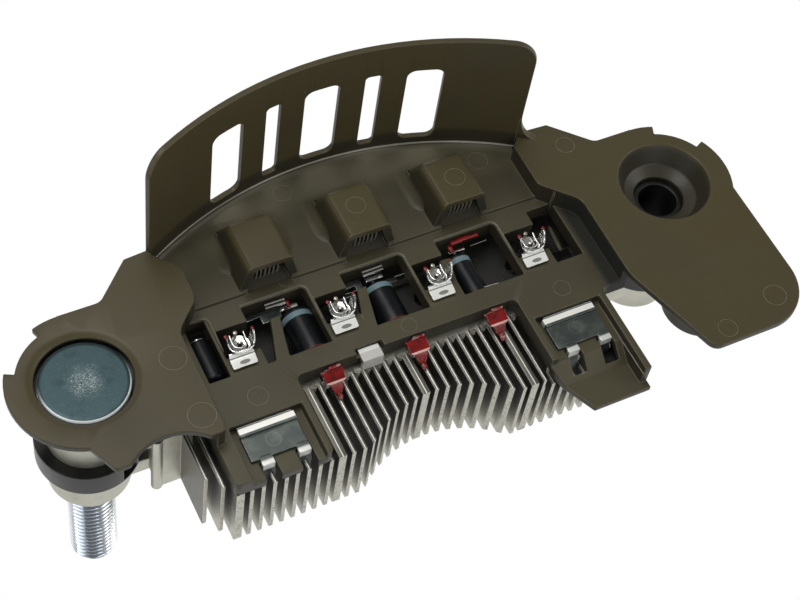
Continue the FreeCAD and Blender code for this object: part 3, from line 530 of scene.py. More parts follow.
@dataclass(frozen=True)
class ZincSteel:
    """Blue-grey zinc plate on the head, brighter on the thread, speckled where it was pressed.

    Shade is painted in the thread's grooves, a dark reflection is painted down the thread's front,
    and a highlight is painted on the head's front rim.

    Attributes:
        bright: Colour of the thread.
        root: Colour of the painted shade in the thread's grooves.
        head: Colour of the head's top.
        shade: Colour of the clouds on the head.
        speck: Colour of the specks in the head's middle.
        rim: Colour of the head's lit rim.
        middle: Colour of the painted dark reflection down the thread.
        head_top: Height above which the head's colour is full.
        ring: Radii of the lit rim.
        thread_root: Radius at which the painted shade in a groove is darkest.
        thread_crest: Radius at which the painted shade starts.
        shank_top: Height below which the stud's lower part starts.
        stripe_way: Way that the painted dark reflection on the thread faces.
    """

    bright: Point = (0.93, 0.96, 0.99)
    root: Point = (0.06, 0.075, 0.1)
    head: Point = (0.042, 0.07, 0.077)
    shade: Point = (0.027, 0.048, 0.054)
    speck: Point = (0.36, 0.4, 0.41)
    rim: Point = (0.9, 0.95, 0.95)
    middle: Point = (0.11, 0.16, 0.22)
    head_top: float = -1.2
    ring: Place = (6.74, 6.96)
    thread_root: float = 3.35
    thread_crest: float = 3.9
    shank_top: float = -20.0
    stripe_way: Point = (-0.58, -0.815, 0.0)

    def make(self) -> Material:
        """Paint the plated steel.

        Returns:
            The material.
        """
        graph = Graph("zinc_steel")
        place = graph.place()
        along, height = graph.part(place, "Y"), graph.part(place, "Z")
        radius = place.stretch((1.0, 1.0, 0.0)).length()
        top = height.rise(self.head_top - 0.4, self.head_top)
        cloud = graph.noise(place, 0.35, 4.0, 0.6)
        speck = graph.noise(place, 9.0, 3.0, 0.8)
        ragged = radius + graph.noise(place.shift((3.0, 7.0, 1.0)), 0.6, 4.0, 0.7) * 3.4
        tiny = graph.noise(place, 5.0, 2.0, 0.85)
        centre = ragged.rise(5.2, 2.4) * top * (speck * 0.5 + tiny * 0.5).rise(0.49, 0.57)
        stray = tiny.rise(0.64, 0.7) * top
        ring = radius.within(*self.ring, 0.06) * top * along.rise(2.5, -3.0)
        shank = height.rise(self.shank_top, self.shank_top - 2.0)
        toward = graph.facing().stretch((1.0, 1.0, 0.0)).dot(self.stripe_way)
        middle = toward.within(0.62, 1.1, 0.2) * shank
        groove = radius.rise(self.thread_crest, self.thread_root)
        # Painted shade in the thread's grooves.
        base = graph.tint(self.bright).mix(self.root, groove * 0.6)
        base = base.mix(self.head, top).mix(self.shade, top * cloud.rise(0.45, 0.7) * 0.7)
        # Real specks where the head was pressed, and a painted highlight on the head's front rim.
        base = base.mix(self.speck, centre * 0.8 + stray * 0.3).mix(self.rim, ring)
        # Painted dark reflection down the thread's front.
        base = base.mix(self.middle, middle * 0.7)
        varied = {
            "Base Color": base,
            "Roughness": top * 0.26 + speck * 0.08 + 0.12,
            "Metallic": 0.92 - ring * 0.7 - shank * (1.0 - middle) * 0.25,
            "Normal": graph.relief(speck * 0.5 + cloud * 0.5, 0.03, 0.4),
        }
        return graph.coat(varied)


@dataclass(frozen=True)
class BlackInsulator:
    """Black phenolic with a dull sheen and painted pale highlights on its edges.

    Attributes:
        black: Its colour.
        worn: Colour of the wear.
        edge: Colour of the painted highlights on the edges.
    """

    black: Point = (0.006, 0.006, 0.0055)
    worn: Point = (0.018, 0.018, 0.017)
    edge: Point = (0.09, 0.084, 0.074)

    def make(self) -> Material:
        """Paint the phenolic.

        Returns:
            The material.
        """
        graph = Graph("black_insulator")
        cloud = graph.noise(graph.place(), 0.4, 4.0, 0.6)
        base = graph.tint(self.black).mix(self.worn, cloud.rise(0.4, 0.7) * 0.6)
        # Painted highlight on the edges.
        base = base.mix(self.edge, graph.edges(0.25) * 0.5)
        relief = graph.relief(cloud, 0.03, 0.4)
        varied = {"Base Color": base, "Roughness": cloud * 0.25 + 0.22, "Normal": relief}
        return graph.coat(varied, {"Specular IOR Level": 0.35})


@dataclass(frozen=True)
class TinnedPlate:
    """Bright tin plate: white on the flanges, with a few grey stains.

    A dark reflection is painted in the cups, and shade is painted along the flanges' crease and on
    the bus tab's front.

    Attributes:
        bright: Colour of the clean plate.
        stain: Colour of the stains, and of the painted shade on the bus tab's front.
        bowl: Colour of the painted dark reflection inside the cups.
        weld: Colour of the weld spot, and of the painted shade along the crease.
        first: X of the first terminal.
        pitch: From one terminal to the next.
        flange: Y at which a flange starts and is full.
        flange_way: Way that a flange faces.
        cup_y: Y of a cup's middle, with its sign turned.
        fold: Y of the crease across a flange.
        weld_spot: Shift of the weld spot in X and Y.
        bus: Ends in Y of the bus tab's front, where shade is painted.
        bus_across: Ends in X of the bus tab.
    """

    bright: Point = (0.92, 0.92, 0.88)
    stain: Point = (0.42, 0.41, 0.37)
    bowl: Point = (0.05, 0.05, 0.045)
    weld: Point = (0.1, 0.095, 0.08)
    first: float = 24.3
    pitch: float = 17.1
    flange: Place = (-2.75, -2.95)
    flange_way: Point = (0.0, -0.74, 0.67)
    cup_y: float = 1.3
    fold: float = -3.42
    weld_spot: Place = (0.3, 4.45)
    bus: Place = (-12.0, -9.1)
    bus_across: Place = (40.0, 46.0)

    def make(self) -> Material:
        """Paint the plate.

        Returns:
            The material.
        """
        graph = Graph("tinned_plate")
        place = graph.place()
        level, along, height = (graph.part(place, axis) for axis in "XYZ")
        dent = graph.noise(place, 0.75, 3.0, 0.5)
        stain = graph.noise(place, 1.6, 3.0, 0.6).rise(0.6, 0.74)
        across = level.wrapped(self.first, self.pitch)
        flange = along.rise(*self.flange) * graph.facing().dot(self.flange_way).rise(0.45, 0.62)
        lit = flange.most(along.rise(4.9, 5.0) * height.rise(-6.6, -6.9))
        centred = along + self.cup_y
        cup = (across * across + centred * centred).rise(7.4, 6.6) * (1.0 - flange)
        rim = graph.facing().dot((0.0, 0.0, 1.0)).rise(0.75, 0.95).most(graph.edges(0.1))
        bowl = cup * (1.0 - rim * 0.8) * (dent.rise(0.53, 0.45) * 0.5 + 0.5)
        side, front = (across + self.weld_spot[0]) * 1.1, (along + self.weld_spot[1]) * 2.6
        weld = (side * side + front * front).rise(1.1, 0.7) * flange
        crease = along.within(self.fold - 0.06, self.fold + 0.06, 0.05) * flange
        bus = along.within(*self.bus, 0.06) * level.within(*self.bus_across, 0.2)
        # Real stains, and a painted dark reflection inside the cups.
        base = graph.tint(self.bright).mix(self.stain, stain * 0.5).mix(self.bowl, bowl * 0.9)
        # The real weld spot, painted shade along the crease, and painted shade on the bus tab's
        # front.
        base = base.mix(self.weld, weld.most(crease) * 0.8).mix(self.stain, bus * 0.75)
        varied = {
            "Base Color": base,
            "Metallic": 1.0 - lit * 0.75 - bus * 0.3,
            "Roughness": stain * 0.2 + dent * 0.1 + 0.08,
            "Normal": graph.relief(dent, 0.07, 0.5),
        }
        return graph.coat(varied)


@dataclass(frozen=True)
class ContactPlate:
    """Dull grey-green sheet with painted highlights on its rolled edge, its tongues and its edges.

    Attributes:
        sheet: Colour of the sheet.
        haze: Colour of the haze on it.
        bright: Colour of the painted highlights on the rolled edge, the tongues and the edges.
        ring: Colour of the round press mark.
        marks: X and Y of the press marks.
        mark: Radii of a mark's line.
        groove: Ends in Y of the groove in the rolled edge, which keeps the sheet's colour between
            the highlights.
        rolled: Ends in Y of the rolled edge.
        tongue_front: Y at which the tongues turn down.
        tongue_low: Height below which a tongue gets no painted highlight, as it lies in shade.
    """

    sheet: Point = (0.07, 0.082, 0.078)
    haze: Point = (0.115, 0.13, 0.12)
    bright: Point = (0.88, 0.88, 0.83)
    ring: Point = (0.24, 0.26, 0.25)
    marks: Line = ((23.0, -17.6), (75.6, -17.4))
    mark: Place = (1.1, 1.2)
    groove: Place = (-14.48, -14.25)
    rolled: Place = (-15.4, -13.0)
    tongue_front: float = -20.3
    tongue_low: float = -6.1

    def make(self) -> Material:
        """Paint the sheet.

        Returns:
            The material.
        """
        graph = Graph("contact_plate")
        place = graph.place()
        side, along, height = (graph.part(place, axis) for axis in "XYZ")
        haze = graph.noise(place, 0.4, 3.0, 0.5)
        brush = graph.noise(place.stretch((0.15, 1.0, 1.0)), 2.2, 3.0, 0.6)
        tongue = along.rise(self.tongue_front, self.tongue_front - 0.3)
        lit = height.rise(self.tongue_low - 0.4, self.tongue_low)
        bent = along.within(*self.rolled, 0.15).most(tongue * lit * 0.75)
        base = graph.tint(self.sheet).mix(self.haze, haze.rise(0.4, 0.7))
        # Painted highlight on the rolled edge, the tongues' upper parts and the edges.
        base = base.mix(self.bright, bent.most(graph.edges(0.12) * 0.8))
        base = base.mix(self.sheet, along.within(*self.groove, 0.05) * 0.9)
        for x, y in self.marks:
            spot = place.shift((-x, -y, 0.0)).stretch((1.0, 1.0, 0.0)).length()
            near = side.within(x - 2.0, x + 2.0, 0.1)
            base = base.mix(self.ring, spot.within(*self.mark, 0.06) * near * 0.25)
        varied = {
            "Base Color": base,
            "Metallic": 0.9 - bent * 0.6,
            "Roughness": brush * 0.1 + haze * 0.1 + 0.3,
            "Normal": graph.relief(brush * (1.0 - bent), 0.01, 0.3),
        }
        return graph.coat(varied)


@dataclass(frozen=True)
class RedLacquer:
    """Thick glossy red lacquer with runs, and painted glints on its edges and across the tabs'
    fold.

    Attributes:
        red: Its colour.
        deep: Where it lies thick.
        thin: Where it lies thin.
        edge: Colour of its glints.
        fold: Y of the glint across a tab's fold.
        glints: Y at which the glints start and are full.
    """

    red: Point = (0.2, 0.005, 0.004)
    deep: Point = (0.07, 0.002, 0.002)
    thin: Point = (0.33, 0.03, 0.02)
    edge: Point = (0.9, 0.55, 0.5)
    fold: float = -11.93
    glints: Place = (-9.0, -9.6)

    def make(self) -> Material:
        """Paint the lacquer.

        Returns:
            The material.
        """
        graph = Graph("red_lacquer")
        place = graph.place()
        along = graph.part(place, "Y")
        run = graph.noise(place, 0.9, 3.0, 0.55)
        thin = graph.noise(place, 2.2, 3.0, 0.6).rise(0.6, 0.75)
        base = graph.tint(self.red).mix(self.deep, run.rise(0.42, 0.7)).mix(self.thin, thin * 0.3)
        fold = along.within(self.fold - 0.1, self.fold + 0.1, 0.06)
        # Painted glints on the edges and across the fold.
        glint = (graph.edges(0.12) * run.rise(0.42, 0.6) * 0.6).most(fold * 0.75)
        base = base.mix(self.edge, glint * along.rise(*self.glints))
        relief = graph.relief(run, 0.2, 0.6)
        varied = {"Base Color": base, "Roughness": run * 0.2 + 0.16, "Normal": relief}
        fixed = {"Coat Weight": 0.3, "Coat Roughness": 0.08, "Specular IOR Level": 0.3}
        return graph.coat(varied, fixed)


@dataclass(frozen=True)
class DiodeCase:
    """Black gloss with a pale blue band near the rear and a brown front end.

    Attributes:
        black: Its colour.
        worn: Colour of the wear.
        band: Colour of the band.
        brown: Colour of the front end.
        band_ends: Both ends of the band in Y.
        front_ends: Y at which the brown starts and is full.
        small: X from which on the cases are the small diodes'.
    """

    black: Point = (0.004, 0.005, 0.0062)
    worn: Point = (0.013, 0.016, 0.019)
    band: Point = (0.16, 0.235, 0.26)
    brown: Point = (0.15, 0.03, 0.018)
    band_ends: Place = (1.2, 2.3)
    front_ends: Place = (-4.6, -5.1)
    small: Place = (28.0, 29.0)

    def make(self) -> Material:
        """Paint the case.

        Returns:
            The material.
        """
        graph = Graph("diode_case")
        place = graph.place()
        along = graph.part(place, "Y")
        wear = graph.noise(place, 2.5, 4.0, 0.65)
        low, high = self.band_ends
        band = along.rise(low, low + 0.12) * along.rise(high, high - 0.12) * wear.rise(0.8, 0.6)
        small = graph.part(place, "X").rise(*self.small)
        base = graph.tint(self.black).mix(self.worn, wear.rise(0.5, 0.7) * 0.5)
        base = base.mix(self.band, band * small * 0.95)
        base = base.mix(self.brown, along.rise(*self.front_ends) * small * 0.9)
        relief = graph.relief(wear, 0.03, 0.3)
        varied = {"Base Color": base, "Roughness": wear * 0.2 + 0.24, "Normal": relief}
        return graph.coat(varied, {"Specular IOR Level": 0.22})


@dataclass(frozen=True)
class NickelCase:
    """Nickel plate on the pressed diodes.

    Attributes:
        pale: Colour of the clean plate.
        brown: Colour of its stains.
    """

    pale: Point = (0.5, 0.47, 0.41)
    brown: Point = (0.27, 0.23, 0.18)

    def make(self) -> Material:
        """Paint the plate.

        Returns:
            The material.
        """
        graph = Graph("nickel_case")
        cloud = graph.noise(graph.place(), 0.8, 4.0, 0.6)
        base = graph.tint(self.pale).mix(self.brown, cloud.rise(0.45, 0.7))
        relief = graph.relief(cloud, 0.05, 0.4)
        varied = {"Base Color": base, "Roughness": cloud * 0.3 + 0.2, "Normal": relief}
        return graph.coat(varied, {"Metallic": 0.95})


FINISHES = {
    Slot.BOARD: BoardPlastic(),
    Slot.SINK: CastAluminium(),
    Slot.ZINC: ZincSteel(),
    Slot.INSULATOR: BlackInsulator(),
    Slot.TINNED: TinnedPlate(),
    Slot.CONTACT: ContactPlate(),
    Slot.LACQUER: RedLacquer(),
    Slot.DIODE: DiodeCase(),
    Slot.NICKEL: NickelCase(),
}
_materials: dict[Slot, Material] = {}


def material_of(slot: Slot) -> Material:
    """Look up a slot's material, and make it at its first use.

    Args:
        slot: The material slot.

    Returns:
        The material.
    """
    if slot not in _materials:
        _materials[slot] = FINISHES[slot].make()
    return _materials[slot]


def put(tree: Tree, kind: str, settings: dict | None = None, values: dict | None = None) -> Node:
    """Add a node to a tree.

    Args:
        tree: The node tree.
        kind: The node's type.
        settings: Properties, set first.
        values: Links or constants by the sockets' names or numbers.

    Returns:
        The new node.
    """
    node = tree.nodes.new(kind)
    for key, item in (settings or {}).items():
        setattr(node, key, item)
    for key, item in (values or {}).items():
        if isinstance(item, Link):
            tree.links.new(item, node.inputs[key])
        else:
            node.inputs[key].default_value = item
    return node


def linked(name: str, data: bpy.types.ID) -> Piece:
    """Put some data into the scene as an object.

    Args:
        name: The object's name.
        data: Its mesh, light or camera.

    Returns:
        The object.
    """
    item = bpy.data.objects.new(name, data)
    bpy.context.scene.collection.objects.link(item)
    return item


def turns_of(count: int) -> list[float]:
    """Return the angles that divide a full turn into a number of equal steps."""
    return [math.tau * step / count for step in range(count)]


def quarter(steps: int) -> list[float]:
    """Return the angles that divide a quarter turn into steps, both ends included."""
    return [math.pi / 2 * step / steps for step in range(steps + 1)]


def smooth(low: float, high: float, value: float) -> float:
    """Work out a smooth step from zero at low to one at high.

    Args:
        low: Where the step starts.
        high: Where it ends.
        value: The place asked for.

    Returns:
        The step's height there.
    """
    share = min(1.0, max(0.0, (value - low) / (high - low)))
    return share * share * (3.0 - 2.0 * share)


class Shape:
    """A mesh under construction, in millimetres."""

    def __init__(self) -> None:
        """Start with nothing."""
        self.mesh = bmesh.new()

    def grid(self, rows: Sequence[Sequence[Point]], round_: bool = True,
             ends: bool = False) -> "Shape":
        """Skin a grid of points.

        Args:
            rows: Rows of points, all of one length.
            round_: Whether each row closes on itself.
            ends: Whether the first and last rows are closed with a face.

        Returns:
            The same shape.
        """
        lines = [[self.mesh.verts.new(Vector(p) * MM) for p in row] for row in rows]
        for low, high in zip(lines, lines[1:]):
            count = len(low)
            for index in range(count if round_ else count - 1):
                after = (index + 1) % count
                self.mesh.faces.new((low[index], low[after], high[after], high[index]))
        if ends:
            self.mesh.faces.new(tuple(reversed(lines[0])))
            self.mesh.faces.new(tuple(lines[-1]))
        return self

    def lathe(self, outline: Sequence[Place], centre: Point, steps: int,
              along: str = "Z") -> "Shape":
        """Turn an outline of radius and height about an axis through a centre.

        Args:
            outline: Pairs of radius and height along the axis.
            centre: Where height zero stands.
            steps: Number of sides.
            along: The axis, Y or Z.

        Returns:
            The same shape.
        """
        rows = []
        for radius, height in outline:
            row = []
            for turn in turns_of(steps):
                side, up = radius * math.cos(turn), radius * math.sin(turn)
                way = (side, up, height) if along == "Z" else (side, height, up)
                row.append(tuple(c + w for c, w in zip(centre, way)))
            rows.append(row)
        return self.grid(rows, True, True)

    def tube(self, path: Sequence[Point], radii: Sequence[float], sides: int = 10) -> "Shape":
        """Lay a round bar along a path.

        Args:
            path: The points that it passes.
            radii: Its radius at each of them.
            sides: Number of its sides.

        Returns:
            The same shape.
        """
        spots = [Vector(p) for p in path]
        rows = []
        side = Vector((1.0, 0.0, 0.0))
        for index, (spot, radius) in enumerate(zip(spots, radii)):
            way = (spots[min(index + 1, len(spots) - 1)] - spots[max(index - 1, 0)]).normalized()
            if abs(way.dot(side)) > 0.95:
                side = Vector((0.0, 1.0, 0.0))
            first = (side - way * way.dot(side)).normalized()
            second = way.cross(first)
            rows.append([tuple(spot + first * radius * math.cos(t) + second * radius * math.sin(t))
                         for t in turns_of(sides)])
        return self.grid(rows, True, True)

    def ribbon(self, path: Sequence[Point], widths: Sequence[Place], thick: float) -> "Shape":
        """Bend a sheet along a path in the plane of Y and Z.

        Args:
            path: Points of the sheet's upper face, whose X is the middle.
            widths: For each point, how far the sheet reaches to the left and right.
            thick: The sheet's thickness, laid below the upper face.

        Returns:
            The same shape.
        """
        spots = [Vector(p) for p in path]
        rows = []
        for index, (spot, (left, right)) in enumerate(zip(spots, widths)):
            before = (spot - spots[index - 1]).normalized() if index else None
            after = (spots[index + 1] - spot).normalized() if index + 1 < len(spots) else None
            way = ((before or after) + (after or before)).normalized()
            below = Vector((1.0, 0.0, 0.0)).cross(way)
            below = -below if below.z > 0 or (abs(below.z) < 0.2 and below.y > 0) else below
            stretch = 1.0 / max(0.5, way.dot(before or after))
            lower = spot + below * thick * stretch
            a, b = Vector((-left, 0, 0)), Vector((right, 0, 0))
            rows.append([tuple(spot + a), tuple(spot + b), tuple(lower + b), tuple(lower + a)])
        return self.grid(rows, True, True)

    def plate(self, outline: Sequence[Place], low: float, high: float) -> "Shape":
        """Raise a flat plate from an outline between two heights."""
        rows = [[(x, y, z) for x, y in outline] for z in (low, high)]
        return self.grid(rows, True, True)

    def blob(self, centre: Point, radii: Point, waves: float = 0.12,
             seed: float = 0.0) -> "Shape":
        """Add an uneven drop with soft waves on its skin.

        Args:
            centre: The drop's middle.
            radii: Its half axes in X, Y and Z.
            waves: Height of the waves as a share of the radii.
            seed: Turns the waves, so that no two drops are alike.

        Returns:
            The same shape.
        """
        rings, sides = 10, 14
        rows = []
        for ring in range(1, rings):
            tilt = math.pi * ring / rings
            row = []
            for turn in turns_of(sides):
                wave = 1.0 + waves * math.sin(3 * turn + seed) * math.sin(2 * tilt + seed)
                flat = math.sin(tilt)
                unit = (flat * math.cos(turn), flat * math.sin(turn), math.cos(tilt))
                row.append(tuple(c + r * u * wave for c, r, u in zip(centre, radii, unit)))
            rows.append(row)
        return self.grid(rows, True, True)

    def moved(self, way: Point) -> "Shape":
        """Copy the shape and move the copy.

        Args:
            way: How far it is moved.

        Returns:
            The copy.
        """
        copy = Shape()
        copy.mesh = self.mesh.copy()
        bmesh.ops.translate(copy.mesh, verts=copy.mesh.verts, vec=Vector(way) * MM)
        return copy

    def solid(self, node: str) -> "Shape":
        """Take in a copy of a solid's mesh, with its double points merged.

        Args:
            node: The solid's name.

        Returns:
            The same shape.
        """
        self.mesh.from_mesh(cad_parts[node].data)
        bmesh.ops.remove_doubles(self.mesh, verts=self.mesh.verts, dist=0.004 * MM)
        return self

    def joined(self) -> "Shape":
        """Join flat neighbours, then cut faces of many corners into plain triangles.

        Returns:
            The same shape.
        """
        work = self.mesh
        flat = math.radians(0.5)
        bmesh.ops.dissolve_limit(work, angle_limit=flat, verts=work.verts, edges=work.edges)
        many = [face for face in work.faces if len(face.verts) > 4]
        bmesh.ops.triangulate(work, faces=many, quad_method="BEAUTY", ngon_method="BEAUTY")
        return self

    def weighed(self, widest: float, width_of: Callable[[Vector, Vector], float],
                angle: float = 30.0) -> "Shape":
        """Give each sharp edge its share of the widest rounding.

        Args:
            widest: The rounding at a share of one, in millimetres.
            width_of: Gives an edge's width from its two ends in millimetres.
            angle: Edges bent by fewer degrees get none.

        Returns:
            The same shape.
        """
        layer = self.mesh.edges.layers.float.new("bevel_weight_edge")
        for edge in self.mesh.edges:
            if len(edge.link_faces) == 2 and edge.calc_face_angle(0.0) > math.radians(angle):
                first, second = (vert.co / MM for vert in edge.verts)
                edge[layer] = width_of(first, second) / widest
        return self

    def cut(self, place: Point, way: Point) -> "Shape":
        """Cut away what lies on the far side of a plane, and close the cut.

        Args:
            place: A point of the plane.
            way: The plane's normal, which points to the side that goes.

        Returns:
            The same shape.
        """
        work = self.mesh
        everything = list(work.verts) + list(work.edges) + list(work.faces)
        bmesh.ops.bisect_plane(work, geom=everything, plane_co=Vector(place) * MM,
                               plane_no=Vector(way), clear_outer=True)
        rim = [edge for edge in work.edges if edge.is_boundary]
        bmesh.ops.holes_fill(work, edges=rim)
        return self


@dataclass(frozen=True)
class Rounding:
    """How a piece's edges are rounded, and whether it is subdivided.

    Attributes:
        width: Width of the rounding in millimetres, or zero for none.
        steps: Segments of the rounding.
        angle: Edges bent by more than this many degrees are rounded.
        smooth: Levels of subdivision.
        weighed: Whether the edges' own shares set where and how wide the rounding is.
    """

    width: float = 0.0
    steps: int = 2
    angle: float = 30.0
    smooth: int = 0
    weighed: bool = False


class SubAssembly:
    """A group of pieces that are made and dressed together."""

    def add(self, name: str, shape: Shape, slot: Slot, rounding: Rounding = Rounding(),
            stands_for: Iterable[str] = ()) -> Piece:
        """Turn a shape into a finished piece.

        Args:
            name: The piece's name.
            shape: The shape, which is used up.
            slot: The record's material slot.
            rounding: How its edges are finished.
            stands_for: Names of the solids that the piece replaces.

        Returns:
            The new object.
        """
        mesh = bpy.data.meshes.new(name)
        bmesh.ops.recalc_face_normals(shape.mesh, faces=shape.mesh.faces)
        shape.mesh.to_mesh(mesh)
        shape.mesh.free()
        piece = linked(name, mesh)
        mesh.shade_smooth()
        if rounding.width:
            bevel = piece.modifiers.new("Round", "BEVEL")
            bevel.width = rounding.width * MM
            bevel.segments = rounding.steps
            bevel.limit_method = "WEIGHT" if rounding.weighed else "ANGLE"
            bevel.angle_limit = math.radians(rounding.angle)
            bevel.use_clamp_overlap = False
            bevel.loop_slide = False
        if rounding.smooth:
            skin = piece.modifiers.new("Skin", "SUBSURF")
            skin.levels = skin.render_levels = rounding.smooth
        self.settle(piece)
        piece.data.set_sharp_from_angle(angle=math.radians(rounding.angle + 10.0))
        weigh = piece.modifiers.new("Weigh", "WEIGHTED_NORMAL")
        weigh.keep_sharp = True
        self.settle(piece)
        return self.dress(piece, slot, stands_for)

    def settle(self, piece: Piece) -> None:
        """Turn a piece with modifiers into a plain mesh.

        Args:
            piece: The piece, which is changed in place.
        """
        bpy.context.view_layer.update()
        graph = bpy.context.evaluated_depsgraph_get()
        plain = bpy.data.meshes.new_from_object(piece.evaluated_get(graph))
        piece.modifiers.clear()
        piece.data = plain
        plain.name = piece.name

    def dress(self, piece: Piece, slot: Slot, stands_for: Iterable[str] = ()) -> Piece:
        """Give a piece its finish and its body, and hide the solids that it stands for.

        Args:
            piece: The piece.
            slot: The record's material slot.
            stands_for: Names of the solids that it replaces.

        Returns:
            The same piece.
        """
        piece.data.materials.clear()
        piece.data.materials.append(material_of(slot))
        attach(piece, "root")
        names = tuple(stands_for)
        if names:
            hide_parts(*names)
        LOG.info("%s: %d faces", piece.name, len(piece.data.polygons))
        return piece

    def soften(self, node: str, slot: Slot, width: float, steps: int = 2) -> Piece:
        """Stand in for a solid with a copy whose edges are rounded.

        Args:
            node: The solid's name.
            slot: The material slot.
            width: Width of the rounding in millimetres.
            steps: Segments of the rounding.

        Returns:
            The new piece.
        """
        shape = Shape().solid(node).joined()
        return self.add(node + "_finished", shape, slot, Rounding(width, steps), [node])

    def repeat(self, name: str, shape: Shape, slot: Slot, count: int, step: Point) -> Piece:
        """Repeat a shape in a straight row with a node tree.

        Args:
            name: The piece's name.
            shape: The first of the row, at its place.
            slot: The material slot.
            count: How many there are.
            step: The way from one to the next.

        Returns:
            The finished row as one piece.
        """
        mesh = bpy.data.meshes.new(name)
        bmesh.ops.recalc_face_normals(shape.mesh, faces=shape.mesh.faces)
        shape.mesh.to_mesh(mesh)
        shape.mesh.free()
        piece = linked(name, mesh)
        values = {"Count": count, "Step": Vector(step) * MM, "Finish": material_of(slot)}
        grow(piece, row_tree(), values)
        self.settle(piece)
        piece.data.set_sharp_from_angle(angle=math.radians(35.0))
        return self.dress(piece, slot)


def tree_named(name: str, sockets: Sequence[tuple[str, str]]) -> tuple[Tree, Callable]:
    """Start a geometry node tree.

    Args:
        name: The tree's name.
        sockets: Names and socket types of the inputs after the geometry.

    Returns:
        The tree, and a function that adds a node with settings and values.
    """
    tree = bpy.data.node_groups.new(name, "GeometryNodeTree")
    tree.interface.new_socket("Geometry", in_out="INPUT", socket_type="NodeSocketGeometry")
    for title, kind in sockets:
        tree.interface.new_socket(title, in_out="INPUT", socket_type=kind)
    tree.interface.new_socket("Geometry", in_out="OUTPUT", socket_type="NodeSocketGeometry")
    return tree, partial(put, tree)


def close_tree(add: Callable, instances: Link, finish: Link) -> None:
    """End a tree with Realize Instances and Set Material.

    Args:
        add: The tree's function that adds a node.
        instances: The socket that gives the instances.
        finish: The socket that gives the material.
    """
    real = add("GeometryNodeRealizeInstances", None, {0: instances})
    coat = add("GeometryNodeSetMaterial", None, {"Geometry": real.outputs[0], "Material": finish})
    add("NodeGroupOutput", None, {0: coat.outputs[0]})


def row_tree() -> Tree:
    """Build the tree that repeats its geometry in a row, or find it if it is there.

    Returns:
        The tree.
    """
    if "repeat_in_a_row" in bpy.data.node_groups:
        return bpy.data.node_groups["repeat_in_a_row"]
    tree, add = tree_named("repeat_in_a_row", [
        ("Count", "NodeSocketInt"), ("Step", "NodeSocketVector"), ("Finish", "NodeSocketMaterial"),
    ])
    given = add("NodeGroupInput")
    values = {"Count": given.outputs["Count"], "Offset": given.outputs["Step"]}
    line = add("GeometryNodeMeshLine", None, values)
    values = {"Points": line.outputs[0], "Instance": given.outputs[0]}
    laid = add("GeometryNodeInstanceOnPoints", None, values)
    close_tree(add, laid.outputs[0], given.outputs["Finish"])
    return tree


def mark_tree() -> Tree:
    """Build the tree that lays a fine ring on each point, as wide as the point says.

    Returns:
        The tree, or the one that is there.
    """
    if "mould_marks" in bpy.data.node_groups:
        return bpy.data.node_groups["mould_marks"]
    sockets = [("Wire", "NodeSocketFloat"), ("Finish", "NodeSocketMaterial")]
    tree, add = tree_named("mould_marks", sockets)
    given = add("NodeGroupInput")
    ring = add("GeometryNodeCurvePrimitiveCircle", None, {"Resolution": 48, "Radius": 1.0})
    values = {"Resolution": 6, "Radius": given.outputs["Wire"]}
    wire = add("GeometryNodeCurvePrimitiveCircle", None, values)
    values = {"Curve": ring.outputs[0], "Profile Curve": wire.outputs[0]}
    bar = add("GeometryNodeCurveToMesh", None, values)
    wide = add("GeometryNodeInputNamedAttribute", {"data_type": "FLOAT"}, {"Name": "wide"})
    values = {"Points": given.outputs[0], "Instance": bar.outputs[0]}
    values["Scale"] = wide.outputs["Attribute"]
    laid = add("GeometryNodeInstanceOnPoints", None, values)
    close_tree(add, laid.outputs[0], given.outputs["Finish"])
    return tree


def grow(piece: Piece, tree: Tree, values: dict[str, object]) -> None:
    """Put a node tree on a piece and set its inputs by their sockets' identifiers.

    Args:
        piece: The piece.
        tree: The node tree.
        values: What the inputs get, by their names.
    """
    modifier = piece.modifiers.new("Grow", "NODES")
    modifier.node_group = tree
    for item in tree.interface.items_tree:
        if item.in_out == "INPUT" and item.name in values:
            modifier[item.identifier] = values[item.name]


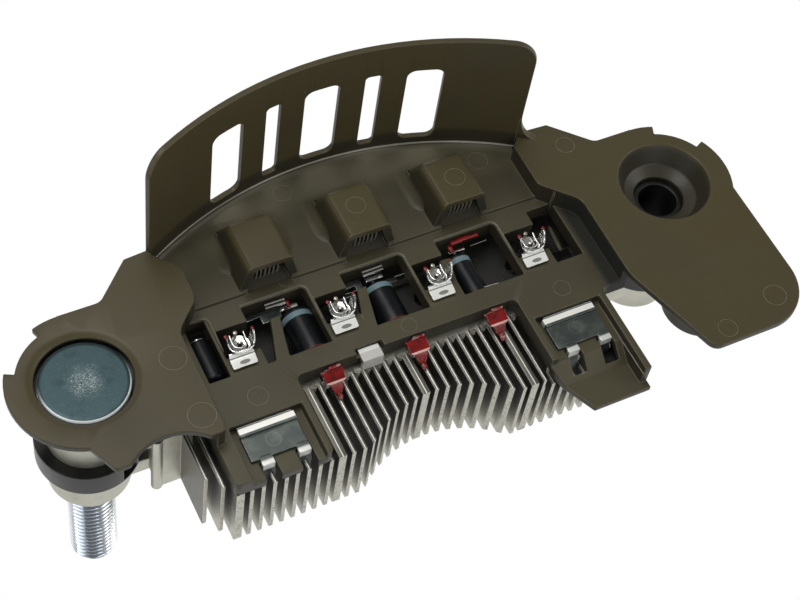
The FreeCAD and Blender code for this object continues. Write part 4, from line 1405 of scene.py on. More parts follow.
@dataclass
class TerminalBoard(SubAssembly):
    """The brown moulding with its ejector marks, its roundings and the hoods' mouths.

    Attributes:
        edge: Rounding of the plain edges.
        marks: Centre and radius of each ejector ring.
        wire: Half the width of a ring's line, as a share of the ring's radius.
        deck: Height of the deck's face.
        floor: Height of the floor by the wall.
        windows: Left ends of the windows in X.
        window_wide: Width of the windows with a diode, and of the first one.
        window_rear: Rear edge of the windows.
        wall_half: Half the wall's chord.
        fillet: Radius of the hollow rounding at the wall's foot.
        skirt: How far a hollow rounding's thin edge runs on just under the floor.
        wall_axis: Where the wall's circle has its centre.
        wall_radius: Radius of the wall's inner face.
        hood_first: X of the first hood's middle.
        hood_pitch: From one hood to the next.
        hood_roof: Height of the hoods' roofs.
        hood_half: Half the width of a roof.
        hood_rear: Y of a roof's rear edge.
        hood_lean: How far a hood's sides spread for each millimetre down.
        hood_rear_lean: The same for its rear.
        hood_edge: Rounding of the hoods' upper edges.
        hood_corner: Rounding of the hoods' slanted corners.
        hood_fillet: Radius of the hollow rounding at their foot.
        comb_count: Number of ribs in a mouth.
        comb_pitch: From one rib to the next.
        comb_half: Half a rib's thickness.
        window_shade: Corners of the dark sheet that stands in for the shade under the last window,
            with its heights.
        notch_shade: The same for the shade under the right leg's notch.
        ramp_rise: How high the deck rises inside a hood's mouth.
        ramp_half: Half the ramp's width at the deck.
        ramp_taper: How much that half shrinks for each millimetre up.
        ramp_along: Y where the ramp starts, and its length.
        comb_left: X of the first rib from the hood's middle.
        comb_line: Y and height of a rib's outline.
        shade_block: Corners and heights of the dark block that stands in for the shade inside a
            mouth, from the hood's middle.
        rim_gap: From a window's edge to the middle of the bead round it.
        rim_turn: Radius of the bead's bend.
        rim_radii: Radius of the bead at its ends and along it.
        rim_front: Y of the bead's last two points.
        web_reach: How far the web runs along the wing.
        web_heights: Height of the web's foot and of its top.
        web_depths: Its two faces, from the wall's inner face.
    """

    edge: float = 0.2
    wire: float = 0.015
    marks: tuple[tuple[float, float, float, float], ...] = (
        (13.33, -1.65, 0.0, 2.1), (13.56, -12.37, 0.0, 2.15), (89.58, 12.87, 0.0, 1.6),
        (106.62, -26.71, 0.0, 1.9), (95.94, -29.21, 0.0, 1.6), (23.56, -10.4, -4.0, 1.6),
        (36.2, 7.65, -4.0, 1.45), (76.84, -10.42, -4.0, 1.45), (50.58, -7.51, -4.0, 1.3),
        (42.34, 23.11, -3.4, 1.6), (75.8, 17.5, -3.4, 1.7), (50.4, 13.0, 2.0, 1.6),
        (68.0, 12.3, 2.0, 1.7),
    )
    deck: float = -4.0
    floor: float = -3.4
    windows: tuple[float, ...] = (16.9, 27.4, 44.5, 61.6)
    window_wide: Place = (10.8, 4.6)
    window_rear: float = 5.3
    wall_axis: Place = (50.0, -36.79)
    wall_radius: float = 63.3
    wall_half: float = 32.8
    fillet: float = 1.1
    skirt: float = 0.7
    hood_first: float = 33.3
    hood_pitch: float = 17.1
    hood_roof: float = 2.0
    hood_half: float = 3.6
    hood_rear: float = 16.8
    hood_lean: float = 0.258
    hood_rear_lean: float = 0.533
    hood_edge: float = 0.7
    hood_corner: float = 1.0
    hood_fillet: float = 1.6
    comb_count: int = 6
    comb_pitch: float = 0.72
    comb_half: float = 0.13
    window_shade: tuple[float, ...] = (77.0, -1.0, 85.5, 8.5, -9.2, -8.8)
    notch_shade: tuple[float, ...] = (78.0, -24.0, 82.7, -19.6, -8.9, -8.6)
    ramp_rise: float = 1.75
    ramp_half: float = 3.72
    ramp_taper: float = 0.33
    ramp_along: Place = (7.5, 2.1)
    comb_left: float = -2.2
    comb_line: Line = (
        (7.8, 0.95), (7.85, -0.5), (8.2, -2.0), (9.0, -2.5), (9.6, -2.0), (9.6, 0.95),
    )
    shade_block: tuple[float, ...] = (-2.7, 9.5, 2.8, 10.6, -3.9, 0.7)
    rim_gap: float = 0.35
    rim_turn: float = 1.3
    rim_radii: Place = (0.12, 0.3)
    rim_front: Place = (-1.5, -4.5)
    web_reach: float = 3.0
    web_heights: Place = (-1.4, 4.6)
    web_depths: Place = (-0.1, 1.15)

    def build(self) -> None:
        """Make the moulding's pieces."""
        board = Shape().solid("terminal_board").joined().weighed(self.hood_corner, self.width_of)
        rounding = Rounding(self.hood_corner, 3, weighed=True)
        self.add("terminal_board_finished", board, Slot.BOARD, rounding, ["terminal_board"])
        self.add("wall_end_web", self.web(), Slot.BOARD, Rounding(0.12))
        self.lay_marks("board_ejector_marks", Slot.BOARD)
        self.add("wall_foot_fillet", self.foot_fillet(), Slot.BOARD)
        wide, narrow = self.window_wide
        for number, left in enumerate(self.windows[1:]):
            self.mouth(number)
            self.add(f"window_{number + 2}_rim", self.rim(left, left + wide), Slot.BOARD)
        left = self.windows[0]
        self.add("window_1_rim", self.rim(left, left + narrow), Slot.BOARD)
        # Dark sheets that stand in for the shade under the last window and under the right leg's
        # notch.
        self.add("window_shade_sheet", self.sheet(*self.window_shade), Slot.INSULATOR, Rounding(0.1))
        self.add("notch_shade_sheet", self.sheet(*self.notch_shade), Slot.INSULATOR, Rounding(0.1))

    def sheet(self, left: float, front: float, right: float, rear: float, low: float,
              high: float) -> Shape:
        """Return a flat sheet between two corners and two heights."""
        outline = [(left, front), (right, front), (right, rear), (left, rear)]
        return Shape().plate(outline, low, high)

    def width_of(self, first: Vector, second: Vector) -> float:
        """Say how wide an edge is rounded: the hoods' outer edges more than all others.

        Args:
            first: One end of the edge in millimetres.
            second: Its other end.

        Returns:
            The width of the rounding in millimetres.
        """
        ends = (first, second)
        number = round(((first.x + second.x) / 2 - self.hood_first) / self.hood_pitch)
        if number not in (0, 1, 2) or max(end.y for end in ends) < 12.0:
            return self.edge
        centre = self.hood_first + number * self.hood_pitch
        high = [end.z > self.hood_roof - 0.1 and abs(end.x - centre) < self.hood_half + 0.1
                and end.y < self.hood_rear + 0.1 for end in ends]
        if all(high):
            return self.hood_edge
        deep = min(first.z, second.z) > self.deck - 0.1
        slanted = any(high) and deep and abs(first.y - second.y) > 1.0
        return self.hood_corner if slanted else self.edge

    def web(self) -> Shape:
        """Return the curved web between the wall's right end and the wing.

        Returns:
            The web, hollow-rounded along the wing.
        """
        turn = math.asin(self.wall_half / self.wall_radius)
        out, along = (math.sin(turn), math.cos(turn)), (math.cos(turn), -math.sin(turn))
        reach, start = self.web_reach, 0.05
        root, tall = self.web_heights
        line = [(-0.4, root), (-0.4, tall)]
        line += [(start + reach * (1.0 - math.cos(a)), tall - (tall - 0.02) * math.sin(a))
                 for a in quarter(8)]
        line.append((start + reach, root))
        rows = []
        for depth in self.web_depths:
            radius = self.wall_radius + depth
            corner = [axis + radius * way for axis, way in zip(self.wall_axis, out)]
            rows.append([(corner[0] + along[0] * u, corner[1] + along[1] * u, z) for u, z in line])
        return Shape().grid(rows, True, True)

    def hood_foot(self, number: int) -> Shape:
        """Round the foot of a hood with a hollow.

        Args:
            number: Which hood, from zero.

        Returns:
            The hollow rounding round its two sides and its rear.
        """
        centre = self.hood_first + number * self.hood_pitch
        rise, turn = self.hood_roof - self.floor, self.hood_corner
        half = self.hood_half + self.hood_lean * rise
        rear = self.hood_rear + self.hood_rear_lean * rise
        starts = ((11.2, 0.05), (11.8, 0.6), (13.0, 1.0))
        spots = [(-half, y, -1.0, 0.0, size) for y, size in starts]
        spots += [(turn - half - turn * math.cos(a), rear - turn + turn * math.sin(a),
                   -math.cos(a), math.sin(a), 1.0) for a in quarter(7)]
        spots += [(-x, y, -nx, ny, size) for x, y, nx, ny, size in reversed(spots)]
        rows = []
        for x, y, nx, ny, size in spots:
            lean = self.hood_lean * abs(nx) + self.hood_rear_lean * abs(ny)
            wide, radius = (self.hood_fillet + self.skirt) * size, self.hood_fillet * size
            row = [(centre + x + nx * wide, y + ny * wide, self.floor - 0.05)]
            for bend in quarter(6):
                up = radius * (1.0 - math.cos(bend))
                out = radius * (1.0 - math.sin(bend)) - lean * up - 0.02
                row.append((centre + x + nx * out, y + ny * out, self.floor + up))
            row.append((centre + x - nx * 0.8, y - ny * 0.8, self.floor - 0.3))
            rows.append(row)
        return Shape().grid(rows, True, True)

    def rim(self, left: float, right: float) -> Shape:
        """Raise a bead along a window's rear and right side.

        Args:
            left: The window's left end in X.
            right: Its right end.

        Returns:
            The bead.
        """
        x, y, turn = right + self.rim_gap, self.window_rear + self.rim_gap, self.rim_turn
        thin, full = self.rim_radii
        path = [(left, y, self.deck)]
        path += [(x - turn + turn * math.sin(a), y - turn + turn * math.cos(a), self.deck)
                 for a in quarter(6)]
        path += [(x, front, self.deck) for front in self.rim_front]
        return Shape().tube(path, [thin] + [full] * (len(path) - 2) + [thin], 8)

    def foot_fillet(self) -> Shape:
        """Round the angle between the wall's inner face and the floor with a hollow.

        Returns:
            The hollow rounding.
        """
        fillet, floor = self.fillet, self.floor
        reaches = [(self.wall_radius - fillet - self.skirt, floor - 0.05)]
        reaches += [(self.wall_radius + 0.05 - fillet * (1.0 - math.sin(bend)),
                     floor + fillet * (1.0 - math.cos(bend))) for bend in quarter(6)]
        reaches.append((self.wall_radius + 0.3, floor - 0.3))
        x, y = self.wall_axis
        rows = []
        for step in range(61):
            turn = math.asin(self.wall_half / self.wall_radius) * (step / 30 - 1.0) * 0.985
            rows.append([(x + reach * math.sin(turn), y + reach * math.cos(turn), height)
                         for reach, height in reaches])
        return Shape().grid(rows, True, True)

    def lay_marks(self, name: str, slot: Slot) -> None:
        """Lay the fine rings that the ejector pins leave.

        Args:
            name: The piece's name.
            slot: Its material slot.
        """
        mesh = bpy.data.meshes.new(name)
        mesh.from_pydata([tuple(c * MM for c in mark[:3]) for mark in self.marks], [], [])
        wide = mesh.attributes.new("wide", "FLOAT", "POINT")
        for index, mark in enumerate(self.marks):
            wide.data[index].value = mark[3] * MM
        piece = linked(name, mesh)
        grow(piece, mark_tree(), {"Wire": self.wire, "Finish": material_of(slot)})
        self.settle(piece)
        piece.data.shade_smooth()
        self.dress(piece, slot)

    def mouth(self, number: int) -> None:
        """Fill a hood's mouth with its ribs, a dark block that stands in for the shade at its rear,
        and the ramp that leads in.

        Args:
            number: Which hood, from zero.
        """
        name = f"hood_{number + 1}"
        centre = self.hood_first + number * self.hood_pitch
        left, half = centre + self.comb_left, self.comb_half
        rows = [[(left + dx, y, z) for y, z in self.comb_line] for dx in (-half, half)]
        tooth = Shape().grid(rows, True, True)
        self.repeat(name + "_comb", tooth, Slot.BOARD, self.comb_count, (self.comb_pitch, 0.0, 0.0))
        # A dark block stands in for the shade inside the mouth.
        start, front, stop, rear, *heights = self.shade_block
        shade_block = self.sheet(centre + start, front, centre + stop, rear, *heights)
        self.add(name + "_filling", shade_block, Slot.INSULATOR, Rounding(0.2))
        rows = []
        for step in range(9):
            share = step / 8
            height = self.deck - 0.05 + self.ramp_rise * smooth(0.0, 1.0, share)
            half = self.ramp_half - self.ramp_taper * (height - self.deck)
            y = self.ramp_along[0] + self.ramp_along[1] * share
            rows.append([(centre - half, y, height), (centre + half, y, height)])
        low = [[(x, y, min(z - 0.4, self.deck - 0.3)) for x, y, z in reversed(row)] for row in rows]
        ramp = Shape().grid([up + down for up, down in zip(rows, low)], True, True)
        self.add(name + "_ramp", ramp, Slot.BOARD)
        self.add(name + "_foot_fillet", self.hood_foot(number), Slot.BOARD)


@dataclass
class HeatSinks(SubAssembly):
    """The finned upper sink, the lower sink, and the burrs at the fins' roots.

    Attributes:
        fin_first: X of the first fin.
        fin_pitch: From one fin to the next.
        root: Y of the fins' roots.
        burr_from: Number of the fin where the burrs start.
        burr_count: How many there are.
        burr_line: Corners of a burr from its fin's root.
        burr_heights: Its lower and upper end.
    """

    fin_first: float = 11.7
    fin_pitch: float = 1.86
    root: float = -10.3
    burr_from: int = 11
    burr_count: int = 20
    burr_line: Line = (
        (-0.5, 0.15), (0.5, 0.15), (0.5, -0.35), (0.15, -0.62), (-0.2, -0.5), (-0.5, -0.3),
    )
    burr_heights: Place = (-8.0, -7.15)

    def build(self) -> None:
        """Make both sinks and the burrs."""
        self.soften("positive_heat_sink", Slot.SINK, 0.1, 1)
        self.soften("negative_heat_sink", Slot.SINK, 0.25)
        x = self.fin_first + self.fin_pitch * (self.burr_from + 0.5)
        outline = [(x + dx, self.root + dy) for dx, dy in self.burr_line]
        burr = Shape().plate(outline, *self.burr_heights)
        step = (self.fin_pitch, 0.0, 0.0)
        self.repeat("fin_root_burrs", burr, Slot.SINK, self.burr_count, step)


@dataclass
class OutputStud(SubAssembly):
    """The threaded stud through both sinks, with its black sleeve and a black ring for the shade
    round the head.

    Attributes:
        gap_shade_ring: Radius and height of the corners of the black ring that stands in for the
            shade in the gap round the head.
        head: Radius and height of the head's outline.
        shank: Radius of the plain shank.
        crest: Radius of the thread's crests.
        root: Radius of its grooves.
        pitch: From one crest to the next.
        thread_top: Height where the thread begins.
        thread_end: Height of the stud's lower end.
        chamfer: How far the end is turned down.
        flank: Where a flank starts in half a pitch, and its width there.
        run_in: Turns over which the thread reaches its full depth.
        sides: Number of sides of the stud.
        rows_per_turn: Rows of points in one pitch.
    """

    gap_shade_ring: Line = ((7.06, -2.5), (8.6, -2.2), (8.6, -4.6), (7.06, -4.6))
    head: Line = (
        (0.02, -0.9), (3.0, -0.9), (6.2, -0.9), (6.62, -0.93), (6.86, -1.04), (6.97, -1.22),
        (7.0, -1.5), (7.0, -3.5), (6.8, -3.9), (3.7, -3.9), (3.7, -16.0),
    )
    shank: float = 3.7
    crest: float = 3.95
    root: float = 3.32
    pitch: float = 1.25
    thread_top: float = -28.6
    thread_end: float = -53.8
    chamfer: float = 1.1
    flank: Place = (0.12, 0.72)
    run_in: float = 1.4
    sides: int = 64
    rows_per_turn: int = 10

    def build(self) -> None:
        """Make the stud, its sleeve and the black ring for the shade round the head."""
        self.add("stud_finished", self.stud(), Slot.ZINC, Rounding(), ["b_plus_stud"])
        self.soften("stud_insulator", Slot.INSULATOR, 0.18)
        turns = turns_of(72)
        # A black ring stands in for the shade in the gap round the head.
        rows = [[(r * math.cos(t), r * math.sin(t), z) for r, z in self.gap_shade_ring] for t in turns]
        self.add("head_gap_shade_ring", Shape().grid(rows + rows[:1], True), Slot.INSULATOR)

    def radius_at(self, height: float, turn: float) -> float:
        """Work out the thread's radius.

        Args:
            height: The height on the stud.
            turn: The angle round it.

        Returns:
            The radius there.
        """
        start, wide = self.flank
        phase = ((self.thread_top - height) / self.pitch + turn / math.tau) % 1.0
        tooth = min(1.0, max(0.0, (abs(phase - 0.5) * 2.0 - start) / wide))
        radius = self.crest + (self.root - self.crest) * tooth
        begun = min(1.0, (self.thread_top - height) / (self.run_in * self.pitch))
        radius = self.shank + (radius - self.shank) * begun
        return min(radius, self.crest - self.chamfer + (height - self.thread_end))

    def stud(self) -> Shape:
        """Return head, shank and thread as one shape.

        Returns:
            The stud.
        """
        turns = turns_of(self.sides)
        rows = [[(r * math.cos(t), r * math.sin(t), z) for t in turns] for r, z in self.head]
        length = self.thread_top - self.thread_end
        count = round(length / (self.pitch / self.rows_per_turn))
        for index in range(count + 1):
            height = self.thread_top - length * index / count
            radii = [self.radius_at(height, t) for t in turns]
            rows.append([(r * math.cos(t), r * math.sin(t), height) for r, t in zip(radii, turns)])
        return Shape().grid(rows, True, True)


@dataclass
class BoltBush(SubAssembly):
    """The black sleeve round the bolt hole, with the ring that shows in the cup.

    Attributes:
        edge: Rounding of its edges.
    """

    edge: float = 0.12

    def build(self) -> None:
        """Make the sleeve."""
        self.soften("bolt_insulator", Slot.INSULATOR, self.edge)


@dataclass
class Terminals(SubAssembly):
    """The four stamped terminals with solder and lacquer, and their pressed diodes.

    Attributes:
        first: X of the first terminal.
        pitch: From one terminal to the next.
        deck: Height of the deck's face.
        sheet: Thickness of the flange.
        wide: Radius of the clamp at its foot.
        strip_from: Y from which on the solid's own strip is kept.
        flange: Shift in X, Y, height over the deck, and both half widths of the flange's points.
        wall: Depth into the clamp and share of its height, for the points of its wall's outline.
        sweep: How far the clamp reaches round to each side.
        heights: The clamp's height at the notch, and what the lobes and the arms add.
        shift: From a terminal's X to the middle of its clamp.
        middle: Y of that middle.
        loop_half: Half the width of the lead's loop.
        loop_ends: Y and height over the deck of the loop's two straight ends.
        tips: Shift in X, Y, height, and radii of each drop of lacquer, with its seed.
    """

    first: float = 24.3
    pitch: float = 17.1
    deck: float = -4.0
    sheet: float = 0.45
    wide: float = 1.95
    strip_from: float = 3.0
    flange: Table = (
        (-0.35, -2.6, 1.15, 1.9, 1.9), (-0.35, -3.15, 1.1, 2.05, 2.0),
        (-0.35, -3.4, 0.86, 2.1, 2.05), (-0.35, -3.7, 0.78, 2.1, 2.05),
        (-0.4, -5.1, 0.78, 2.1, 1.95), (-0.45, -5.2, 0.74, 1.95, 1.8),
    )
    wall: Line = (
        (0.0, 0.0), (0.0, 0.5), (-0.06, 0.93), (-0.14, 1.0), (-0.34, 1.0), (-0.42, 0.93),
        (-0.42, 0.5), (-0.42, 0.0),
    )
    sweep: float = 1.85
    heights: Point = (1.15, 0.3, 1.6)
    shift: float = 0.15
    middle: float = -1.25
    loop_half: float = 1.15
    loop_ends: tuple[Place, Place] = ((0.5, 1.55), (-0.5, 1.2))
    tips: Table = (
        (-2.2, -0.75, 3.3, 0.34, 0.42, 0.16, 0.4), (2.2, -0.7, 3.33, 0.3, 0.42, 0.16, 2.0),
    )

    def build(self) -> None:
        """Make all the terminals."""
        clamp, solder, lacquer = self.clamp(), self.solder(), self.lacquer()
        for number in range(4):
            way = (number * self.pitch, 0.0, 0.0)
            name = f"ac_terminal_{number + 1}"
            stamping = clamp.moved(way)
            strip = Shape().solid(name).cut((0.0, self.strip_from, 0.0), (0.0, -1.0, 0.0)).joined()
            rest = bpy.data.meshes.new("strip")
            strip.mesh.to_mesh(rest)
            strip.mesh.free()
            stamping.mesh.from_mesh(rest)
            self.add(name + "_stamping", stamping, Slot.TINNED, Rounding(0.06, 2, 40.0), [name])
            self.add(name + "_solder", solder.moved(way), Slot.TINNED, Rounding(smooth=1))
            self.add(name + "_lacquer", lacquer.moved(way), Slot.LACQUER, Rounding(smooth=1))
            self.soften(f"negative_diode_{number + 1}", Slot.NICKEL, 0.12)
            self.soften(f"positive_diode_{number + 1}", Slot.NICKEL, 0.12)
        for shape in (clamp, solder, lacquer):
            shape.mesh.free()

    def rim(self, turn: float) -> float:
        """Return the clamp's height at an angle from its front, from the notch to the arms."""
        away, (notch, lobe, arm) = abs(turn), self.heights
        return notch + lobe * smooth(0.35, 0.6, away) + arm * smooth(1.0, 1.65, away)

    def clamp(self) -> Shape:
        """Return the flange and the upright clamp of the first terminal.

        Returns:
            Both as one shape.
        """
        x, low = self.first, self.deck
        path = [(x + dx, y, low + up) for dx, y, up, _, _ in self.flange]
        shape = Shape().ribbon(path, [row[3:] for row in self.flange], self.sheet)
        rows = []
        for step in range(81):
            turn = self.sweep * (step / 40 - 1.0)
            tall = self.rim(turn)
            bulge = (0.86 + 0.14 * min(1.0, abs(math.sin(turn)) * 1.4)) * 0.95
            row = []
            for depth, share in self.wall:
                reach = self.wide + depth + 0.5 * share
                side, ahead = math.sin(turn) * reach, math.cos(turn) * reach * bulge
                row.append((x + self.shift + side, self.middle - ahead, low + 0.3 + tall * share))
            rows.append(row)
        return shape.grid(rows, True, True)

    def solder(self) -> Shape:
        """Return the lead's end and the solder round it, inside the clamp.

        Returns:
            Both as one shape.
        """
        x, low = self.first + self.shift, self.deck
        outline = [(1.9, low + 0.3), (1.75, low + 0.7), (1.35, low + 0.5), (0.02, low + 0.45)]
        shape = Shape().lathe(outline, (x, -1.3, 0.0), 20)
        shape.blob((x + 0.1, -1.1, low + 0.7), (0.55, 0.32, 0.35), 0.1, 0.5)
        half = self.loop_half
        ends = [(y, low + up) for y, up in self.loop_ends]
        turns = [math.radians(v) for v in range(-180, 1, 18)]
        loop = [(x - half, y, z) for y, z in ends]
        loop += [(x + half * math.cos(t), self.middle + 0.95 * math.sin(t), low + 1.05)
                 for t in turns]
        loop += [(x + half, y, z) for y, z in reversed(ends)]
        return shape.tube(loop, [0.2] * len(loop), 8)

    def lacquer(self) -> Shape:
        """Return the lacquer on the rear horns.

        Returns:
            Both drops as one shape.
        """
        x, low = self.first + self.shift, self.deck
        shape = Shape()
        for dx, y, up, wide, deep, tall, seed in self.tips:
            shape.blob((x + dx, y, low + up), (wide, deep, tall), 0.15, seed)
        return shape


@dataclass
class FieldDiodes(SubAssembly):
    """The three small diodes with wires and lacquered tabs, their strip and the bus tab.

    Attributes:
        first: X of the first diode.
        pitch: From one diode to the next.
        axis: Height of the diodes' axes.
        rear: Y of a case's rear end.
        front: Y of its front end.
        wire: Radius of the wires.
        wire_line: Y and height over the axis of the front wire's last three points.
        wire_rear: Y of the rear wire's last two points.
        tab_places: How far each tab stands beside its diode.
        tab_line: For each point of a tab, its shift in X, Y, height and both half widths.
        tab_sheet: Thickness of a tab.
        tab_bead: Points and radius of the bead along a tab's rear, from its middle.
        cases: For each case, its shift in X, its shift to the rear and its radius.
        end_case: X and height of the axis of the case in the bay at the left end.
        end_line: Radius and Y of that case's outline.
        end_glint: Radius, Y and thickness of the bright arc that stands for the highlight on its
            rear rim.
        strips: Name and outline of each grey strip in a window.
        strip_heights: Lower and upper face of the strips.
        bars: Name, both ends and radius of each bright bar in a window; the third window's last bar
            stands for a highlight on the edge of a dark part.
        red_bar: Points and radius of the red bar in the fourth window.
        red_drops: Centre, radii and seed of the red drops in the windows.
        last_bar: Points and radius of the brown bar in the last window.
    """

    first: float = 35.2
    pitch: float = 15.0
    axis: float = -7.7
    rear: float = 2.7
    front: float = -5.4
    wire: float = 0.4
    wire_line: Line = ((-8.0, 0.0), (-10.2, 0.2), (-11.2, 0.2))
    wire_rear: Place = (3.0, 3.6)
    tab_places: Point = (1.0, 0.55, -0.35)
    tab_line: Table = (
        (0.0, -9.8, -4.8, 1.85, 1.6), (0.0, -10.2, -4.55, 1.85, 1.65),
        (0.0, -11.0, -4.85, 1.78, 1.62), (0.0, -11.8, -5.25, 1.7, 1.6),
        (0.0, -12.0, -5.4, 1.66, 1.58), (0.0, -12.1, -5.6, 1.1, 1.05),
        (-0.1, -12.8, -6.2, 0.85, 0.85), (-0.15, -13.3, -6.5, 0.42, 0.45),
        (-0.25, -14.3, -7.0, 0.28, 0.3),
    )
    tab_sheet: float = 0.7
    tab_bead: Table = (
        (-1.9, -10.0, -5.0, 0.25), (-0.4, -9.75, -4.55, 0.3), (1.5, -9.7, -4.6, 0.25),
    )
    cases: tuple[Point, ...] = ((0.6, 0.45, 2.65), (-0.2, 0.1, 2.7), (-0.45, 0.4, 2.25))
    end_case: Place = (19.25, -6.8)
    end_line: Line = (
        (0.02, -4.7), (1.5, -4.7), (1.85, -4.45), (2.0, -4.0), (2.0, 2.5), (1.85, 2.95),
        (1.5, 3.2), (0.02, 3.2),
    )
    end_glint: Point = (2.05, 2.75, 0.09)
    strips: tuple[tuple[str, Line], ...] = (
        ("window_2_strip", ((28.2, 4.3), (30.5, 4.5), (30.5, 3.1), (31.6, 3.1), (31.6, 2.3),
                            (33.9, 2.5), (33.9, 5.2), (28.2, 5.2))),
        ("window_3_strip", ((45.1, 4.1), (47.0, 4.3), (47.0, 3.0), (48.2, 3.1), (48.2, 5.2),
                            (45.1, 5.2))),
    )
    strip_heights: Place = (-7.6, -7.2)
    bars: tuple[tuple[str, Point, Point, float], ...] = (
        ("window_2_bar_1", (31.2, 4.7, -4.7), (34.6, 4.7, -4.7), 0.22),
        ("window_2_bar_2", (31.1, 4.05, -4.7), (34.5, 4.05, -4.7), 0.24),
        ("window_3_bar_1", (48.2, 4.7, -4.7), (51.8, 4.75, -4.7), 0.22),
        ("window_3_bar_2", (48.1, 4.05, -4.7), (51.7, 4.1, -4.7), 0.24),
        # This thin bright bar stands for a highlight on the edge of a dark part.
        ("window_3_glint_bar", (53.0, 2.5, -5.5), (55.0, 2.5, -5.5), 0.1),
        ("window_4_bar_1", (67.4, 3.4, -5.5), (70.5, 3.5, -5.5), 0.1),
        ("window_4_bar_2", (65.7, -4.7, -5.5), (68.3, -4.85, -5.5), 0.08),
    )
    red_bar: Table = (
        (64.3, 4.65, -5.0, 0.4), (66.8, 4.75, -4.9, 0.42), (69.3, 4.75, -5.0, 0.32),
    )
    red_drops: tuple[tuple[Point, Point, float], ...] = (
        ((63.9, 3.9, -5.3), (0.5, 0.75, 0.45), 0.7), ((34.9, 3.9, -5.2), (0.4, 0.8, 0.45), 0.3),
    )
    last_bar: Table = (
        (81.7, 2.4, -5.6, 0.35), (81.2, -0.4, -5.4, 0.45), (80.9, -3.6, -5.4, 0.6),
    )

    def build(self) -> None:
        """Make all the small parts of the field circuit."""
        for number, (aside, ahead, radius) in enumerate(self.cases):
            x = self.first + number * self.pitch
            name, tab = f"field_diode_{number + 1}", f"lead_tab_{number + 1}"
            case = self.case(x + aside, ahead, radius)
            self.add(name + "_case", case, Slot.DIODE, Rounding(), [name])
            self.add(name + "_wires", self.wires(x), Slot.TINNED, Rounding())
            red = self.tab(x + self.tab_places[number])
            self.add(tab + "_coated", red, Slot.LACQUER, Rounding(0.14, 2, 25.0), [tab])
        self.soften("field_bus", Slot.TINNED, 0.1)
        self.soften("bus_tab", Slot.TINNED, 0.12)
        self.fill_end_bay()
        self.fill_windows()

    def fill_end_bay(self) -> None:
        """Make the black round case in the bay at the left end, with a bright arc for the highlight
        on its rear rim.
        """
        x, z = self.end_case
        case = Shape().lathe(self.end_line, (x, 0.0, z), 44, "Y")
        self.add("end_bay_case", case, Slot.DIODE, Rounding())
        # A bright arc stands for the highlight on the case's rear rim.
        turns = [math.radians(v) for v in range(60, 200, 14)]
        reach, y, thick = self.end_glint
        arc = [(x + reach * math.cos(t), y, z + reach * math.sin(t)) for t in turns]
        self.add("end_bay_glint_arc", Shape().tube(arc, [thick] * len(arc), 6), Slot.TINNED)

    def fill_windows(self) -> None:
        """Make the strips, the bars and the lacquer that show in the windows."""
        for name, outline in self.strips:
            strip = Shape().plate(outline, *self.strip_heights)
            self.add(name, strip, Slot.CONTACT, Rounding(0.06))
        for name, start, stop, radius in self.bars:
            bar = Shape().tube([start, stop], [radius, radius], 8)
            self.add(name, bar, Slot.TINNED, Rounding())
        points, radii = zip(*((row[:3], row[3]) for row in self.red_bar))
        red = Shape().tube(points, radii, 10)
        for centre, half_axes, seed in self.red_drops:
            red.blob(centre, half_axes, 0.15, seed)
        self.add("window_4_lacquer", red, Slot.LACQUER)
        points, radii = zip(*((row[:3], row[3]) for row in self.last_bar))
        bar = Shape().tube(points, radii, 12)
        self.add("window_5_bar", bar, Slot.BOARD, Rounding(smooth=1))

    def case(self, x: float, ahead: float, r: float) -> Shape:
        """Turn a diode's case with rounded ends and a shallow waist.

        Args:
            x: Where its axis stands.
            ahead: How far it is set to the rear.
            r: Its radius.

        Returns:
            The case.
        """
        rear, front = self.rear + ahead, self.front
        outline = [(0.02, front), (r * 0.5, front), (r - 0.5, front + 0.04)]
        outline += [(r - 0.18, front + 0.2), (r, front + 0.6), (r, -2.5), (r - 0.03, -1.0)]
        outline += [(r, 0.5), (r, rear - 0.55), (r - 0.15, rear - 0.2), (r - 0.45, rear - 0.03)]
        outline += [(r * 0.5, rear), (0.02, rear)]
        return Shape().lathe(outline, (x, 0.0, self.axis), 48, "Y")

    def wires(self, x: float) -> Shape:
        """Lay the two wires of a diode.

        Args:
            x: Where its axis stands.

        Returns:
            Both wires as one shape.
        """
        z = self.axis
        front = [(x, self.front + 0.3, z)] + [(x, y, z + up) for y, up in self.wire_line]
        rear = [(x, self.rear - 0.3, z)] + [(x, y, z) for y in self.wire_rear]
        shape = Shape().tube(front, [self.wire] * len(front))
        return shape.tube(rear, [self.wire] * len(rear))

    def tab(self, x: float) -> Shape:
        """Bend a red tab: a sheet down over the fins that narrows to a drop.

        Args:
            x: Where its middle stands.

        Returns:
            The tab with its drop and the bead along its rear.
        """
        path = [(x + dx, y, z) for dx, y, z, _, _ in self.tab_line]
        shape = Shape().ribbon(path, [row[3:] for row in self.tab_line], self.tab_sheet)
        shape.blob((x - 0.2, -13.7, -6.65), (0.5, 0.55, 0.42), 0.2, 1.0)
        bead = [(x + dx, y, z) for dx, y, z, _ in self.tab_bead]
        return shape.tube(bead, [row[3] for row in self.tab_bead], 8)


